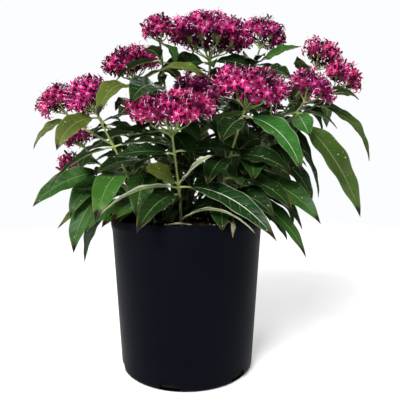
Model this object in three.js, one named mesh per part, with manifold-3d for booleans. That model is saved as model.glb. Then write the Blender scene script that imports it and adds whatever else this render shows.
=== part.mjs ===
// Pentas (Egyptian starcluster) in a black nursery pot: leafy stems that stand in the soil, each
// ending in a domed head of five-petalled florets.
// Millimetres, +Z up. The origin is the centre of the pot's foot, and -Y is the front.
import * as THREE from "three";
import { ConvexHull } from "three/addons/math/ConvexHull.js";
import { mergeVertices } from "three/addons/utils/BufferGeometryUtils.js";
import Module from "manifold-3d";

const wasm = await Module();
wasm.setup();

// ---------------------------------------------------------------- driving dimensions

const SIDES = 40; // flats round the pot and the soil, which line up
const GAP = 0.3; // between pieces that rest on each other
const POT = {
  height: 163,
  footRadius: 72,
  rimRadius: 82.5,
  wall: 2.2,
  floor: 3,
  footRound: 4,
  lipHeight: 8,
  lipProud: 1.1,
  edgeRound: 1,
};
const SLOT = { count: 6, width: 20, height: 9, depth: 11, firstTurn: -104 }; // drains at the foot
const SOIL = { edgeLevel: 150, mound: 7, relief: 1.2, rings: [0.3, 0.55, 0.8, 1] };
const STEM = {
  footRadius: 2.7,
  topRadius: 1.7,
  sides: 4,
  steps: 5,
  branchSteps: 3,
  rooted: 24, // depth in the soil
  rootPull: 0.4, // share of its reach over which it keeps the way it sets off
  topPull: 0.3, // and the way its head faces
};
const ARM = {
  radius: 0.9,
  taper: 0.8,
  sides: 3,
  step: 1.9, // one arm leaves the stem this far below the last
  reach: 0.5, // share of the head's radius where it ends
  short: 1.6, // and how far below the seat
  apart: 8,
  fewest: 3,
  most: 4,
  firstTurn: 0.3, // as a share of the turn between two arms
};
const BLADE = {
  thick: 0.8,
  keel: 0.5, // how far the midrib stands out underneath
  stalk: 0.14, // share of the leaf that is stalk
  stalkHalf: 1.1,
  rootHalf: 0.77, // half widths of the stalk at the blade and at the stem
  rooted: 0.7, // where the stalk begins, just beyond the middle of its stem
  stations: [0.14, 0.32, 0.52, 0.76], // shares of the length that have a section
  fewStations: [0.14, 0.38, 0.7],
  swell: 0.75, // powers of the outline towards the stalk and towards the tip
  narrow: 1.15,
  fold: 0.22, // how far the edges rise, as a share of the half width
  wave: 0.1,
  waves: 1.5,
};
const FLORET = {
  spacing: 21.5, // each has a square of this side of the dome to itself
  fewest: 7,
  reach: 9.5, // middle to petal tip
  share: 0.52, // or this share of the way to its neighbour
  notch: 0.5, // distance of the notches, as a share of the tips'
  lift: 0.8,
  cup: 1.2,
  neck: 2.2,
  stalk: 6.5,
  spin: 1.7, // how far each star is turned on its neck, against its turn round the dome
};
const GOLDEN_ANGLE = Math.PI * (3 - Math.sqrt(5));
const HEAD = {
  lean: 260, // a head this far from the middle faces half outward
  lowest: 112, // degrees from the top of the dome to its last florets
  fullness: 0.82, // 1 is an ellipse, and less has fuller shoulders
  bands: 200, // the dome is measured in this many
  sag: 0.8, // depth below the widest level, as a share of the dome's height
  under: 5, // the seat below the widest level, with a share of the radius
  underShare: 0.2,
  nodeShare: 0.32, // the first arm leaves the stem this share of the radius below the seat
};

// Stems: where each stands in the soil, the head it carries (centre of its widest level, radius, dome
// height and how much wider it is than deep), hand-placed leaves as [height on the stem, tip, rise,
// width, roll], and the heights where the rule grows a pair. A branch leaves its stem at a height and
// has the same entries.
const STEMS = [
  {
    name: "front",
    foot: [-6, -38],
    head: [-15, -80, 268, 36, 13, 1.04],
    leaves: [
      [197, [75, -115, 154], 6, 24, 30],
      [196, [-76, -112, 172], 14, 13, -15],
      [199, [-38, -96, 214], 30, 21, 60],
      [200, [22, -108, 226], 32, 16, 45],
      [190, [-43, -105, 160], 4, 24, 20],
      [163, [60, -120, 157], 34, 8, -10],
      [231, [50, -62, 232], 12, 22, 30],
      [229, [-68, -66, 226], 12, 24, 30],
    ],
    pairs: [],
  },
  {
    name: "front_right",
    foot: [32, -32],
    head: [60, -60, 291, 30, 18, 1.12],
    leaves: [
      [266, [101, -92, 211], -8, 27, 30],
      [264, [30, -88, 238], -14, 24, 10],
      [228, [100, -70, 208], 10, 26, 40],
      [226, [18, -86, 200], 2, 24, 10],
      [190, [80, -84, 170], 12, 24, 30],
      [184, [46, -94, 169], 14, 22, 10],
    ],
    pairs: [205],
  },
  {
    name: "right_low",
    foot: [42, -12],
    head: [130, -28, 299, 21, 13, 1.12],
    leaves: [
      [271, [168, -62, 168], -40, 30, 40],
      [252, [142, -14, 184], -22, 20, 45],
      [204, [126, -72, 163], 6, 26, 35],
      [188, [115, -64, 129], -4, 22, 30],
      [186, [108, -18, 138], -6, 19, 40],
      [274, [117, -62, 246], -30, 20, 30],
    ],
    pairs: [222, 272],
    branches: [{ at: 238, head: [95, -2, 295, 9, 10], pairs: [] }],
  },
  {
    name: "right",
    foot: [58, 12],
    head: [157, 25, 345, 21, 14, 1.12],
    leaves: [[318, [118, -8, 336], 10, 24, 30]],
    pairs: [205, 245, 312],
    branches: [
      { at: 262, head: [171, -4, 314, 18, 15, 1.1], leaves: [[286, [195, -18, 223], -12, 20, 35]], pairs: [294] },
    ],
  },
  {
    name: "crest",
    foot: [50, 4],
    head: [26, 0, 358, 41, 17, 1.1],
    leaves: [
      [330, [-30, -8, 316], 6, 30, 50],
      [331, [76, -18, 314], 6, 26, 45],
      [304, [46, -52, 314], 34, 22, 20],
    ],
    pairs: [195, 230, 262, 296, 324],
  },
  {
    name: "crest_right",
    foot: [54, 30],
    head: [90, 32, 371, 22, 15, 1.14],
    leaves: [
      [337, [122, -8, 346], 20, 20, 50],
      [328, [110, -14, 313], 4, 24, 30],
    ],
    pairs: [235, 275, 310, 335],
  },
  {
    name: "crest_left",
    foot: [-16, -2],
    head: [-28, -33, 354, 16, 14],
    leaves: [[341, [-12, -41, 318], -15, 19, 0]],
    pairs: [190, 225, 262, 294, 324],
  },
  {
    name: "shoulder",
    foot: [-36, -8],
    head: [-60, -12, 325, 26, 15, 1.08],
    leaves: [
      [298, [-80, -76, 262], 14, 25, 15],
      [302, [20, -92, 291], 24, 21, 25],
      [184, [-68, -84, 168], 8, 26, 20],
      [222, [-86, -62, 210], 12, 24, 25],
    ],
    pairs: [215, 252, 284],
  },
  {
    name: "left",
    foot: [-52, -16],
    head: [-99, -27, 289, 21, 17],
    leaves: [
      [267, [-122, -62, 232], 2, 23, 30],
      [212, [-80, -94, 168], 4, 26, 15],
      [182, [-97, -66, 154], 4, 23, 20],
      [186, [-114, -38, 166], 8, 22, 30],
    ],
    pairs: [186, 238],
    branches: [
      { at: 240, head: [-136, -8, 287, 19, 16], leaves: [[268, [-161, -14, 236], -8, 16, 40]], pairs: [] },
    ],
  },
  {
    name: "left_low",
    foot: [-50, 12],
    head: [-123, 20, 252, 15, 10],
    leaves: [
      [212, [-160, -24, 176], 2, 26, 40],
      [202, [-116, -34, 129], -14, 29, 20],
      [188, [-142, -2, 150], -2, 22, 40],
    ],
    pairs: [180],
    branches: [{ at: 196, head: [-135, 25, 221, 13, 13], pairs: [] }],
  },
  { name: "middle", foot: [0, 12], head: [9, -28, 295, 21, 13, 1.1], leaves: [], pairs: [180, 208, 240, 272] },
  {
    name: "back_left",
    foot: [-28, 36],
    head: [-45, 100, 297, 30, 16, 1.05],
    leaves: [],
    pairs: [180, 215, 248, 275],
    branches: [{ at: 205, head: [-122, 84, 300, 20, 13], pairs: [240, 268] }],
  },
  { name: "back", foot: [4, 46], head: [25, 112, 314, 33, 17, 1.05], leaves: [], pairs: [178, 212, 246, 284] },
  {
    name: "back_right",
    foot: [32, 46],
    head: [93, 97, 310, 28, 15, 1.05],
    leaves: [],
    pairs: [182, 216, 250, 284],
    branches: [{ at: 220, head: [140, 78, 312, 18, 12], pairs: [266] }],
  },
];

// What the rule gives the two leaves of a pair. Their headings are turns from the way that the
// stem leans, and pairs take the first and the second list by turns.
const PAIR = {
  length: [70, 98],
  upperLength: [46, 64],
  upper: 45, // pairs this close below the head have the short leaves
  slimness: 0.31,
  rise: [-8, 24],
  bend: [42, 82],
  turns: [
    [-62, 62],
    [12, 165],
  ],
  heading: 0.25, // swings either way, in radians
  roll: 0.45,
  twist: 0.35,
};
const TO_TIP_TWIST = 0.25;

// How a leaf finds room: it keeps clear of every other piece, and each try may swing further.
const ROOM = {
  clearance: 1.2,
  from: 0.112, // share of the leaf from which it is tested
  tries: 26,
  full: 12, // the try from which the swings are full
  heading: 0.75,
  rise: 0.6,
  bend: 0.6,
  leastBend: 0.35,
  shorter: 0.28,
  twist: 0.4,
};

// ---------------------------------------------------------------- helpers

const rad = THREE.MathUtils.degToRad;
const vec = (x, y, z) => new THREE.Vector3(x, y, z);
const [EAST, NORTH] = [vec(1, 0, 0), vec(0, 1, 0)];
const mix = (range, t) => range[0] + (range[1] - range[0]) * t;

// A repeatable draw from 0 to 1 for a list of whole numbers.
function draw(...keys) {
  let h = 2166136261;
  for (const key of keys) {
    h = Math.imul(h ^ key, 16777619);
    h ^= h >>> 13;
    h = Math.imul(h, 1540483477);
    h ^= h >>> 15;
  }
  return (h >>> 0) / 4294967296;
}

// A repeatable draw either way of zero, up to an amount.
const swing = (amount, ...keys) => (2 * draw(...keys) - 1) * amount;

function solidOf(geometry) {
  const bare = new THREE.BufferGeometry().setAttribute("position", geometry.getAttribute("position"));
  if (geometry.index) bare.setIndex(geometry.index);
  const merged = mergeVertices(bare, 1e-4);
  return new wasm.Manifold(
    new wasm.Mesh({
      numProp: 3,
      vertProperties: merged.attributes.position.array,
      triVerts: new Uint32Array(merged.index.array),
    }),
  );
}

function geometryOf(solid) {
  const mesh = solid.getMesh();
  const positions = new Float32Array(mesh.numVert * 3);
  for (let i = 0; i < mesh.numVert; i++)
    positions.set(mesh.vertProperties.subarray(i * mesh.numProp, i * mesh.numProp + 3), i * 3);
  return new THREE.BufferGeometry()
    .setAttribute("position", new THREE.BufferAttribute(positions, 3))
    .setIndex(new THREE.BufferAttribute(mesh.triVerts, 1));
}

function geometryFrom(points, faces) {
  const positions = new Float32Array(points.flatMap((p) => [p.x, p.y, p.z]));
  return new THREE.BufferGeometry()
    .setAttribute("position", new THREE.BufferAttribute(positions, 3))
    .setIndex(faces.flat());
}

// A closed solid through rings of points. Each ring runs the same way round, seen from its start;
// turned lists the sides whose quads are split along the other diagonal, and tip closes the last ring.
function loft(rings, tip, turned = []) {
  const count = rings[0].length;
  const points = rings.flat();
  const faces = [];
  for (let r = 0; r + 1 < rings.length; r++)
    for (let i = 0; i < count; i++) {
      const [a, b] = [r * count + i, r * count + ((i + 1) % count)];
      const [c, d] = [b + count, a + count];
      if (turned.includes(i)) faces.push([a, b, d], [b, c, d]);
      else faces.push([a, b, c], [a, c, d]);
    }
  for (let i = 1; i + 1 < count; i++) faces.push([0, i + 1, i]);
  const last = (rings.length - 1) * count;
  if (tip) {
    points.push(tip);
    for (let i = 0; i < count; i++) faces.push([last + i, last + ((i + 1) % count), points.length - 1]);
  } else for (let i = 1; i + 1 < count; i++) faces.push([last, last + i, last + i + 1]);
  return geometryFrom(points, faces);
}

function joinAll(solids) {
  return solids.reduce((all, one) => all.add(one));
}

// ---------------------------------------------------------------- pot and soil

function potGeometry() {
  const { height, footRadius, rimRadius, wall, floor, footRound, lipHeight, lipProud, edgeRound } = POT;
  const lipFoot = height - lipHeight;
  const footCorner = footRound * (1 - Math.SQRT1_2);
  const outside = (z) => footRadius + ((rimRadius - lipProud - footRadius) * z) / lipFoot;
  const profile = [
    [0, 0],
    [footRadius - footRound, 0],
    [footRadius - footCorner, footCorner],
    [outside(footRound), footRound],
    [outside(lipFoot - lipProud), lipFoot - lipProud],
    [rimRadius, lipFoot],
    [rimRadius, height - edgeRound],
    [rimRadius - edgeRound, height],
    [rimRadius - wall, height],
    [insideRadius(lipFoot), lipFoot],
    [insideRadius(floor), floor],
    [0, floor],
  ];
  const body = new THREE.LatheGeometry(
    profile.map(([r, z]) => new THREE.Vector2(r, z)),
    SIDES,
  ).rotateX(Math.PI / 2);
  let pot = solidOf(body);
  for (let i = 0; i < SLOT.count; i++) {
    const cutter = new THREE.BoxGeometry(SLOT.depth * 2, SLOT.width, SLOT.height * 2)
      .translate(footRadius, 0, 0)
      .rotateZ(rad(SLOT.firstTurn + (360 / SLOT.count) * i));
    pot = pot.subtract(solidOf(cutter));
  }
  return geometryOf(pot);
}

// The pot's inner wall at a height.
function insideRadius(z) {
  const lipFoot = POT.height - POT.lipHeight;
  return POT.footRadius - POT.wall + ((POT.rimRadius - POT.lipProud - POT.footRadius) * z) / lipFoot;
}

// The soil's level at a share of its radius and a turn: a low mound with a few lumps.
function soilLevel(share, turn) {
  const mound = SOIL.mound * (1 - share * share);
  const lumps = Math.sin(5 * turn + 7 * share) * Math.cos(9 * share + 3 * turn);
  return SOIL.edgeLevel + mound + SOIL.relief * lumps * Math.min(1, 3 * share);
}

function soilLevelAt(x, y) {
  return soilLevel(Math.hypot(x, y) / insideRadius(SOIL.edgeLevel), Math.atan2(y, x));
}

function soilGeometry() {
  const edge = insideRadius(SOIL.edgeLevel) - GAP;
  const bottom = POT.floor + GAP;
  const ringOf = (radius, level) =>
    Array.from({ length: SIDES }, (_, i) => {
      const turn = (2 * Math.PI * i) / SIDES;
      return vec(radius * Math.cos(turn), radius * Math.sin(turn), level(turn));
    });
  const rings = [
    ringOf(insideRadius(bottom) - GAP, () => bottom),
    ...SOIL.rings.toReversed().map((share) => ringOf(edge * share, (turn) => soilLevel(share, turn))),
  ];
  let soil = solidOf(loft(rings, vec(0, 0, soilLevel(0, 0))));
  for (const stem of STEMS) soil = soil.subtract(solidOf(socketGeometry(stem)));
  return geometryOf(soil);
}

// The plain hole that a stem stands in.
function socketGeometry({ foot: [x, y] }) {
  const radius = STEM.footRadius + GAP / Math.cos(Math.PI / STEM.sides);
  const bottom = SOIL.edgeLevel - STEM.rooted - GAP;
  const top = SOIL.edgeLevel + 2 * SOIL.mound;
  return loft([bottom, top].map((z) => ringRound(vec(x, y, z), EAST, NORTH, radius, STEM.sides)));
}

// Points round a centre, from side towards up.
function ringRound(centre, side, up, radius, count) {
  return Array.from({ length: count }, (_, i) => {
    const turn = (2 * Math.PI * i) / count;
    return centre
      .clone()
      .addScaledVector(side, radius * Math.cos(turn))
      .addScaledVector(up, radius * Math.sin(turn));
  });
}

// ---------------------------------------------------------------- stems

// The way a head faces: up, leaning out from the middle of the plant.
function headAxis([x, y]) {
  return vec(x / HEAD.lean, y / HEAD.lean, 1).normalize();
}

// Two directions square to a way, so that side, up and way are a right-handed set.
function squareTo(way) {
  const side = NORTH.clone().cross(way).normalize();
  return { side, up: way.clone().cross(side) };
}

// Where the head rests on its stem.
function seatOf(head) {
  const [x, y, z, radius] = head;
  return vec(x, y, z).addScaledVector(headAxis(head), -HEAD.under - HEAD.underShare * radius);
}

// A stem or branch as a row of points from its root to the seat of its head.
function spineOf(start, startWay, head, steps) {
  const end = seatOf(head);
  const reach = start.distanceTo(end);
  const curve = new THREE.CubicBezierCurve3(
    start,
    start.clone().addScaledVector(startWay, reach * STEM.rootPull),
    end.clone().addScaledVector(headAxis(head), -reach * STEM.topPull),
    end,
  );
  return curve.getPoints(steps);
}

// The point of a rising spine at a height, and the way the spine runs there.
function onSpine(spine, z) {
  const above = spine.findIndex((point) => point.z > z);
  const next = above > 0 ? above : spine.length - 1;
  const [low, high] = [spine[next - 1], spine[next]];
  const point = low.clone().lerp(high, (z - low.z) / (high.z - low.z));
  return { point, way: high.clone().sub(low).normalize() };
}

function spineGeometry(spine, head, radii, isRooted) {
  const last = spine.length - 1;
  const rings = spine.map((point, i) => {
    const way = spine[Math.min(i + 1, last)].clone().sub(spine[Math.max(i - 1, 0)]).normalize();
    if (isRooted && i === 0) way.set(0, 0, 1);
    if (i === last) way.copy(headAxis(head));
    const { side, up } = squareTo(way);
    return ringRound(point, side, up, mix(radii, i / last), STEM.sides);
  });
  if (isRooted) {
    const foot = spine[0].clone().setZ(SOIL.edgeLevel - STEM.rooted);
    rings.unshift(ringRound(foot, EAST, NORTH, radii[0], STEM.sides));
  }
  return loft(rings);
}

// The thin arms that spread from the top of a stem to the underside of its head.
function armGeometries(spine, head) {
  const radius = head[3];
  const axis = headAxis(head);
  const { side, up } = squareTo(axis);
  const seat = seatOf(head);
  const node = seat.z - HEAD.nodeShare * radius;
  const count = THREE.MathUtils.clamp(Math.round(radius / ARM.apart), ARM.fewest, ARM.most);
  return Array.from({ length: count }, (_, i) => {
    const turn = (2 * Math.PI * (i + ARM.firstTurn)) / count;
    const out = side.clone().multiplyScalar(Math.cos(turn)).addScaledVector(up, Math.sin(turn));
    const start = onSpine(spine, node - ARM.step * i).point;
    const end = seat.clone().addScaledVector(out, ARM.reach * radius).addScaledVector(axis, -ARM.short);
    const way = end.clone().sub(start).normalize();
    const across = axis.clone().cross(way).normalize();
    const over = way.clone().cross(across);
    return loft([
      ringRound(start, across, over, ARM.radius, ARM.sides),
      ringRound(end, across, over, ARM.radius * ARM.taper, ARM.sides),
    ]);
  });
}

// ---------------------------------------------------------------- leaves

// A leaf is { start, heading, rise, bend, length, width, stations, roll, twist, phase }: its midrib is
// an arc in the upright plane of its heading, which sets off at rise and turns down by bend.

// A leaf whose tip is placed by hand. Its roll turns the upper face towards the front.
function leafToTip(start, [tip, rise, width, roll = 0], seed) {
  const flat = Math.hypot(tip[0] - start.x, tip[1] - start.y);
  const drop = tip[2] - start.z;
  const bend = 2 * (rad(rise) - Math.atan2(drop, flat));
  return {
    start,
    heading: Math.atan2(tip[1] - start.y, tip[0] - start.x),
    rise: rad(rise),
    bend,
    length: (Math.hypot(flat, drop) * (bend / 2)) / Math.sin(bend / 2),
    width,
    stations: BLADE.stations,
    roll: rad(roll) * Math.sign(tip[0] - start.x),
    twist: swing(TO_TIP_TWIST, seed, 5),
    phase: draw(seed, 6),
  };
}

function leafByRule(start, heading, isUpper, seed) {
  const length = mix(isUpper ? PAIR.upperLength : PAIR.length, draw(seed, 1));
  return {
    start,
    heading: heading + swing(PAIR.heading, seed, 2),
    rise: rad(mix(PAIR.rise, draw(seed, 3))),
    bend: rad(mix(PAIR.bend, draw(seed, 4))),
    length,
    width: length * PAIR.slimness,
    stations: BLADE.fewStations,
    roll: swing(PAIR.roll, seed, 7),
    twist: swing(PAIR.twist, seed, 5),
    phase: draw(seed, 6),
  };
}

// The same leaf swung away from its own pose, further with each try.
function swungAside(leaf, seed, attempt) {
  if (attempt === 0) return leaf;
  const far = Math.min(1, attempt / ROOM.full);
  return {
    ...leaf,
    heading: leaf.heading + swing(far * ROOM.heading, seed, attempt, 11),
    rise: leaf.rise + swing(far * ROOM.rise, seed, attempt, 12),
    bend: Math.max(ROOM.leastBend, leaf.bend + swing(far * ROOM.bend, seed, attempt, 13)),
    length: leaf.length * (1 - ROOM.shorter * far * draw(seed, attempt, 14)),
    twist: leaf.twist + swing(far * ROOM.twist, seed, attempt, 15),
  };
}

// The place on the midrib at a share of its length, with the ways across and out of the blade.
function midrib(leaf, share) {
  const { start, heading, rise, bend, length } = leaf;
  const slope = rise - bend * share;
  const out = (length / bend) * (Math.sin(rise) - Math.sin(slope));
  const up = (length / bend) * (Math.cos(slope) - Math.cos(rise));
  const [c, s] = [Math.cos(heading), Math.sin(heading)];
  const place = vec(start.x + c * out, start.y + s * out, start.z + up);
  const level = vec(-s, c, 0);
  const square = vec(-Math.sin(slope) * c, -Math.sin(slope) * s, Math.cos(slope));
  const roll = leaf.roll * Math.min(1, share / BLADE.stalk) + leaf.twist * share;
  const side = level.clone().multiplyScalar(Math.cos(roll)).addScaledVector(square, Math.sin(roll));
  const normal = square.clone().multiplyScalar(Math.cos(roll)).addScaledVector(level, -Math.sin(roll));
  return { place, side, normal };
}

// The blade's outline, from 0 at the stalk through 1 at its widest to 0 at the drawn-out tip.
function outline(t) {
  const { swell, narrow } = BLADE;
  const widest = swell / (swell + narrow);
  return (t / widest) ** swell * ((1 - t) / (1 - widest)) ** narrow;
}

function halfWidth(leaf, share) {
  if (share < BLADE.stalk / 2) return BLADE.rootHalf;
  const t = Math.max(0, (share - BLADE.stalk) / (1 - BLADE.stalk));
  return BLADE.stalkHalf + (leaf.width / 2 - BLADE.stalkHalf) * outline(t);
}

// How far an edge stands above the midrib, for the left (-1) or the right (1) edge.
function edgeLift(leaf, share, hand) {
  const wave = Math.sin(2 * Math.PI * (BLADE.waves * share + leaf.phase) + hand);
  return halfWidth(leaf, share) * (BLADE.fold + BLADE.wave * wave);
}

// Each section has its two edges and its midrib, above and below. Both faces split the same way.
function leafGeometry(leaf, first, spare = 0) {
  const half = BLADE.thick / 2 + spare;
  const rings = [first, ...leaf.stations].map((share) => {
    const { place, side, normal } = midrib(leaf, share);
    const point = (hand, level) =>
      place
        .clone()
        .addScaledVector(side, hand * (halfWidth(leaf, share) + spare))
        .addScaledVector(normal, level + (hand ? edgeLift(leaf, share, hand) : 0));
    return [
      point(-1, -half),
      point(0, -half - BLADE.keel),
      point(1, -half),
      point(1, half),
      point(0, half),
      point(-1, half),
    ];
  });
  return loft(rings, midrib(leaf, 1).place, [0, 1]);
}

// ---------------------------------------------------------------- heads of florets

// The sine or cosine of an angle from the top, with the dome's fuller shoulders.
const full = (value, power = HEAD.fullness) => Math.sign(value) * Math.abs(value) ** power;

// The angles from the top of the dome at which florets sit, one for each equal share of its surface.
function floretAngles(radius, height) {
  const step = rad(HEAD.lowest) / HEAD.bands;
  const outline = (angle) => [radius * full(Math.sin(angle)), height * full(Math.cos(angle))];
  const bands = Array.from({ length: HEAD.bands }, (_, i) => {
    const [inner, upper] = outline(i * step);
    const [outer, lower] = outline((i + 1) * step);
    const slant = Math.hypot(outer - inner, upper - lower);
    return { angle: (i + 0.5) * step, area: Math.PI * (inner + outer) * slant };
  });
  const surface = bands.reduce((sum, band) => sum + band.area, 0);
  const count = Math.max(FLORET.fewest, Math.round(surface / FLORET.spacing ** 2));
  const angles = [];
  let passed = 0;
  for (const { angle, area } of bands) {
    passed += area;
    while (angles.length < count && passed >= ((angles.length + 0.5) * surface) / count) angles.push(angle);
  }
  return angles;
}

// Florets lie round the dome by the golden angle, from its top to a little below its widest level.
function floretPlaces(head) {
  const [x, y, z, radius, height, stretch = 1] = head;
  const axis = headAxis(head);
  const { side, up } = squareTo(axis);
  const [wide, deep] = [radius * stretch, radius / stretch];
  const florets = floretAngles(radius, height).map((angle, i) => {
    const turn = i * GOLDEN_ANGLE;
    const tall = angle < Math.PI / 2 ? height : height * HEAD.sag;
    const place = vec(x, y, z)
      .addScaledVector(side, wide * Math.cos(turn) * full(Math.sin(angle)))
      .addScaledVector(up, deep * Math.sin(turn) * full(Math.sin(angle)))
      .addScaledVector(axis, tall * full(Math.cos(angle)));
    const outward = full(Math.sin(angle), 2 - HEAD.fullness);
    const normal = axis
      .clone()
      .multiplyScalar(full(Math.cos(angle), 2 - HEAD.fullness) / tall)
      .addScaledVector(side, (Math.cos(turn) * outward) / wide)
      .addScaledVector(up, (Math.sin(turn) * outward) / deep)
      .normalize();
    const across = normal.clone().cross(up).normalize();
    return { place, normal, across, over: normal.clone().cross(across), turn: turn * FLORET.spin };
  });
  for (const floret of florets) {
    const others = florets.filter((other) => other !== floret);
    const nearest = Math.min(...others.map((other) => other.place.distanceTo(floret.place)));
    floret.reach = Math.min(FLORET.reach, nearest * FLORET.share);
  }
  return florets;
}

// The point of a floret at a distance and turn from its middle, at a level above its face.
function floretPoint(floret, distance, turn, level) {
  return floret.place
    .clone()
    .addScaledVector(floret.normal, level)
    .addScaledVector(floret.across, distance * Math.cos(turn))
    .addScaledVector(floret.over, distance * Math.sin(turn));
}

// A core that narrows down to the seat, with a neck for each floret, and on each neck a star of petals.
function headGeometry(head) {
  const florets = floretPlaces(head);
  const points = florets.flatMap((floret) =>
    [0, 1, 2].map((i) =>
      floretPoint(floret, FLORET.neck, floret.turn + (2 * Math.PI * i) / 3, -FLORET.stalk),
    ),
  );
  points.push(seatOf(head).addScaledVector(headAxis(head), GAP));
  const order = new Map(points.map((point, i) => [point, i]));
  const faces = [];
  for (const face of new ConvexHull().setFromPoints(points).faces) {
    const corners = [face.edge, face.edge.next, face.edge.next.next].map((e) => order.get(e.head().point));
    const owner = florets[Math.floor(corners[0] / 3)];
    const isNeck = owner && corners.every((i) => florets[Math.floor(i / 3)] === owner);
    faces.push(...(isNeck ? starFaces(points, owner, corners) : [corners]));
  }
  return geometryFrom(points, faces);
}

// The faces of a five-petalled star that stands on the three corners of its neck.
function starFaces(points, floret, corners) {
  const rim = Array.from({ length: 10 }, (_, i) => {
    const isTip = i % 2 === 0;
    const distance = floret.reach * (isTip ? 1 : FLORET.notch);
    const turn = floret.turn + (Math.PI * i) / 5;
    return points.push(floretPoint(floret, distance, turn, isTip ? FLORET.lift : -FLORET.cup)) - 1;
  });
  const notches = rim.filter((_, i) => i % 2 === 1);
  const faces = [
    [notches[0], notches[1], notches[2]],
    [notches[0], notches[2], notches[3]],
    [notches[0], notches[3], notches[4]],
  ];
  for (let i = 0; i < 10; i += 2) faces.push([rim[(i + 9) % 10], rim[i], rim[i + 1]]);
  const starts = corners.map((corner) => {
    const near = rim.map((index) => points[index].distanceTo(points[corner]));
    return near.indexOf(Math.min(...near));
  });
  corners.forEach((corner, k) => {
    const next = (k + 1) % 3;
    let i = starts[k];
    for (; i !== starts[next]; i = (i + 1) % 10) faces.push([corner, rim[(i + 1) % 10], rim[i]]);
    faces.push([corner, corners[next], rim[i]]);
  });
  return faces;
}

// ---------------------------------------------------------------- growing the plant

const material = (color, roughness) => new THREE.MeshStandardMaterial({ color, roughness, metalness: 0 });
const plant = new THREE.Group();
const placed = []; // every piece so far, as { solid, box }

// Takes up a piece's room, and gives its solid.
function settle(geometry) {
  geometry.computeBoundingBox();
  placed.push({ solid: solidOf(geometry), box: geometry.boundingBox });
  return placed.at(-1).solid;
}

function addMesh(name, geometry, color, roughness) {
  const mesh = new THREE.Mesh(geometry, material(color, roughness));
  mesh.name = name;
  plant.add(mesh);
}

function isClear(geometry) {
  geometry.computeBoundingBox();
  const near = placed.filter((other) => other.box.intersectsBox(geometry.boundingBox));
  if (near.length === 0) return true;
  const solid = solidOf(geometry);
  return near.every((other) => solid.intersect(other.solid).isEmpty());
}

const pot = potGeometry();
settle(pot);
addMesh("pot", pot, 0x14161d, 0.5);
const soil = soilGeometry();
settle(soil);
addMesh("soil", soil, 0x2a1d14, 1);

// A stem and its branches with their arms. Parts are the stem and the branches, each with its spine.
function growShoot(stem) {
  const [x, y] = stem.foot;
  const ground = vec(x, y, soilLevelAt(x, y));
  const main = spineOf(ground, vec(0, 0, 1), stem.head, STEM.steps);
  const parts = [{ ...stem, spine: main }];
  const solids = [solidOf(spineGeometry(main, stem.head, [STEM.footRadius, STEM.topRadius], true))];
  for (const branch of stem.branches ?? []) {
    const { point, way } = onSpine(main, branch.at);
    const outward = vec(branch.head[0] - point.x, branch.head[1] - point.y, 0).normalize();
    const spine = spineOf(point, way.add(outward).normalize(), branch.head, STEM.branchSteps);
    parts.push({ ...branch, spine });
    solids.push(solidOf(spineGeometry(spine, branch.head, [STEM.topRadius, STEM.topRadius], false)));
  }
  for (const part of parts) solids.push(...armGeometries(part.spine, part.head).map(solidOf));
  const woody = joinAll(solids);
  settle(geometryOf(woody));
  return { name: stem.name, parts, solids: [woody] };
}

// A leaf takes the first of its poses that is clear of every piece before it, or doesn't grow.
function growLeaf(shoot, leaf, seed) {
  for (let attempt = 0; attempt < ROOM.tries; attempt++) {
    const pose = swungAside(leaf, seed, attempt);
    if (!isClear(leafGeometry(pose, ROOM.from, ROOM.clearance))) continue;
    shoot.solids.push(settle(leafGeometry(pose, BLADE.rooted / pose.length)));
    return;
  }
}

function growPlacedLeaves(shoot, part, seed) {
  for (const [level, ...shape] of part.leaves ?? []) {
    growLeaf(shoot, leafToTip(onSpine(part.spine, level).point, shape, seed), seed);
    seed++;
  }
}

function growPairs(shoot, part, seed) {
  const outward = Math.atan2(part.head[1], part.head[0]);
  part.pairs.forEach((level, i) => {
    const start = onSpine(part.spine, level).point;
    const isUpper = level > part.head[2] - PAIR.upper;
    for (const turn of PAIR.turns[i % 2]) {
      growLeaf(shoot, leafByRule(start, outward + rad(turn), isUpper, seed), seed);
      seed++;
    }
  });
}

// Stems and heads come first, then the leaves placed by hand, then the pairs.
const shoots = STEMS.map(growShoot);
for (const { name, parts } of shoots)
  parts.forEach((part, i) => {
    const head = headGeometry(part.head);
    settle(head);
    addMesh(`flowers_${name}${i ? "_side" : ""}`, head, 0xb01862, 0.7);
  });
for (const [grow, firstSeed] of [
  [growPlacedLeaves, 0],
  [growPairs, 50],
])
  shoots.forEach((shoot, s) =>
    shoot.parts.forEach((part, p) => grow(shoot, part, 1000 * s + 100 * p + firstSeed)),
  );
for (const { name, solids } of shoots) addMesh(`stem_${name}`, geometryOf(joinAll(solids)), 0x2f5a2b, 0.55);

export default plant;
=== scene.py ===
"""A pentas in its black nursery pot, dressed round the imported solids.

The plant is worked out in millimetres, by the rules of the part's own source, and a piece is put into
metres when its mesh is made. Stems, leaves and heads so stand where their solids do. +Z is up, the
origin is the centre of the pot's foot, and -Y is the front.
"""

import math
from types import SimpleNamespace as Values

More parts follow.
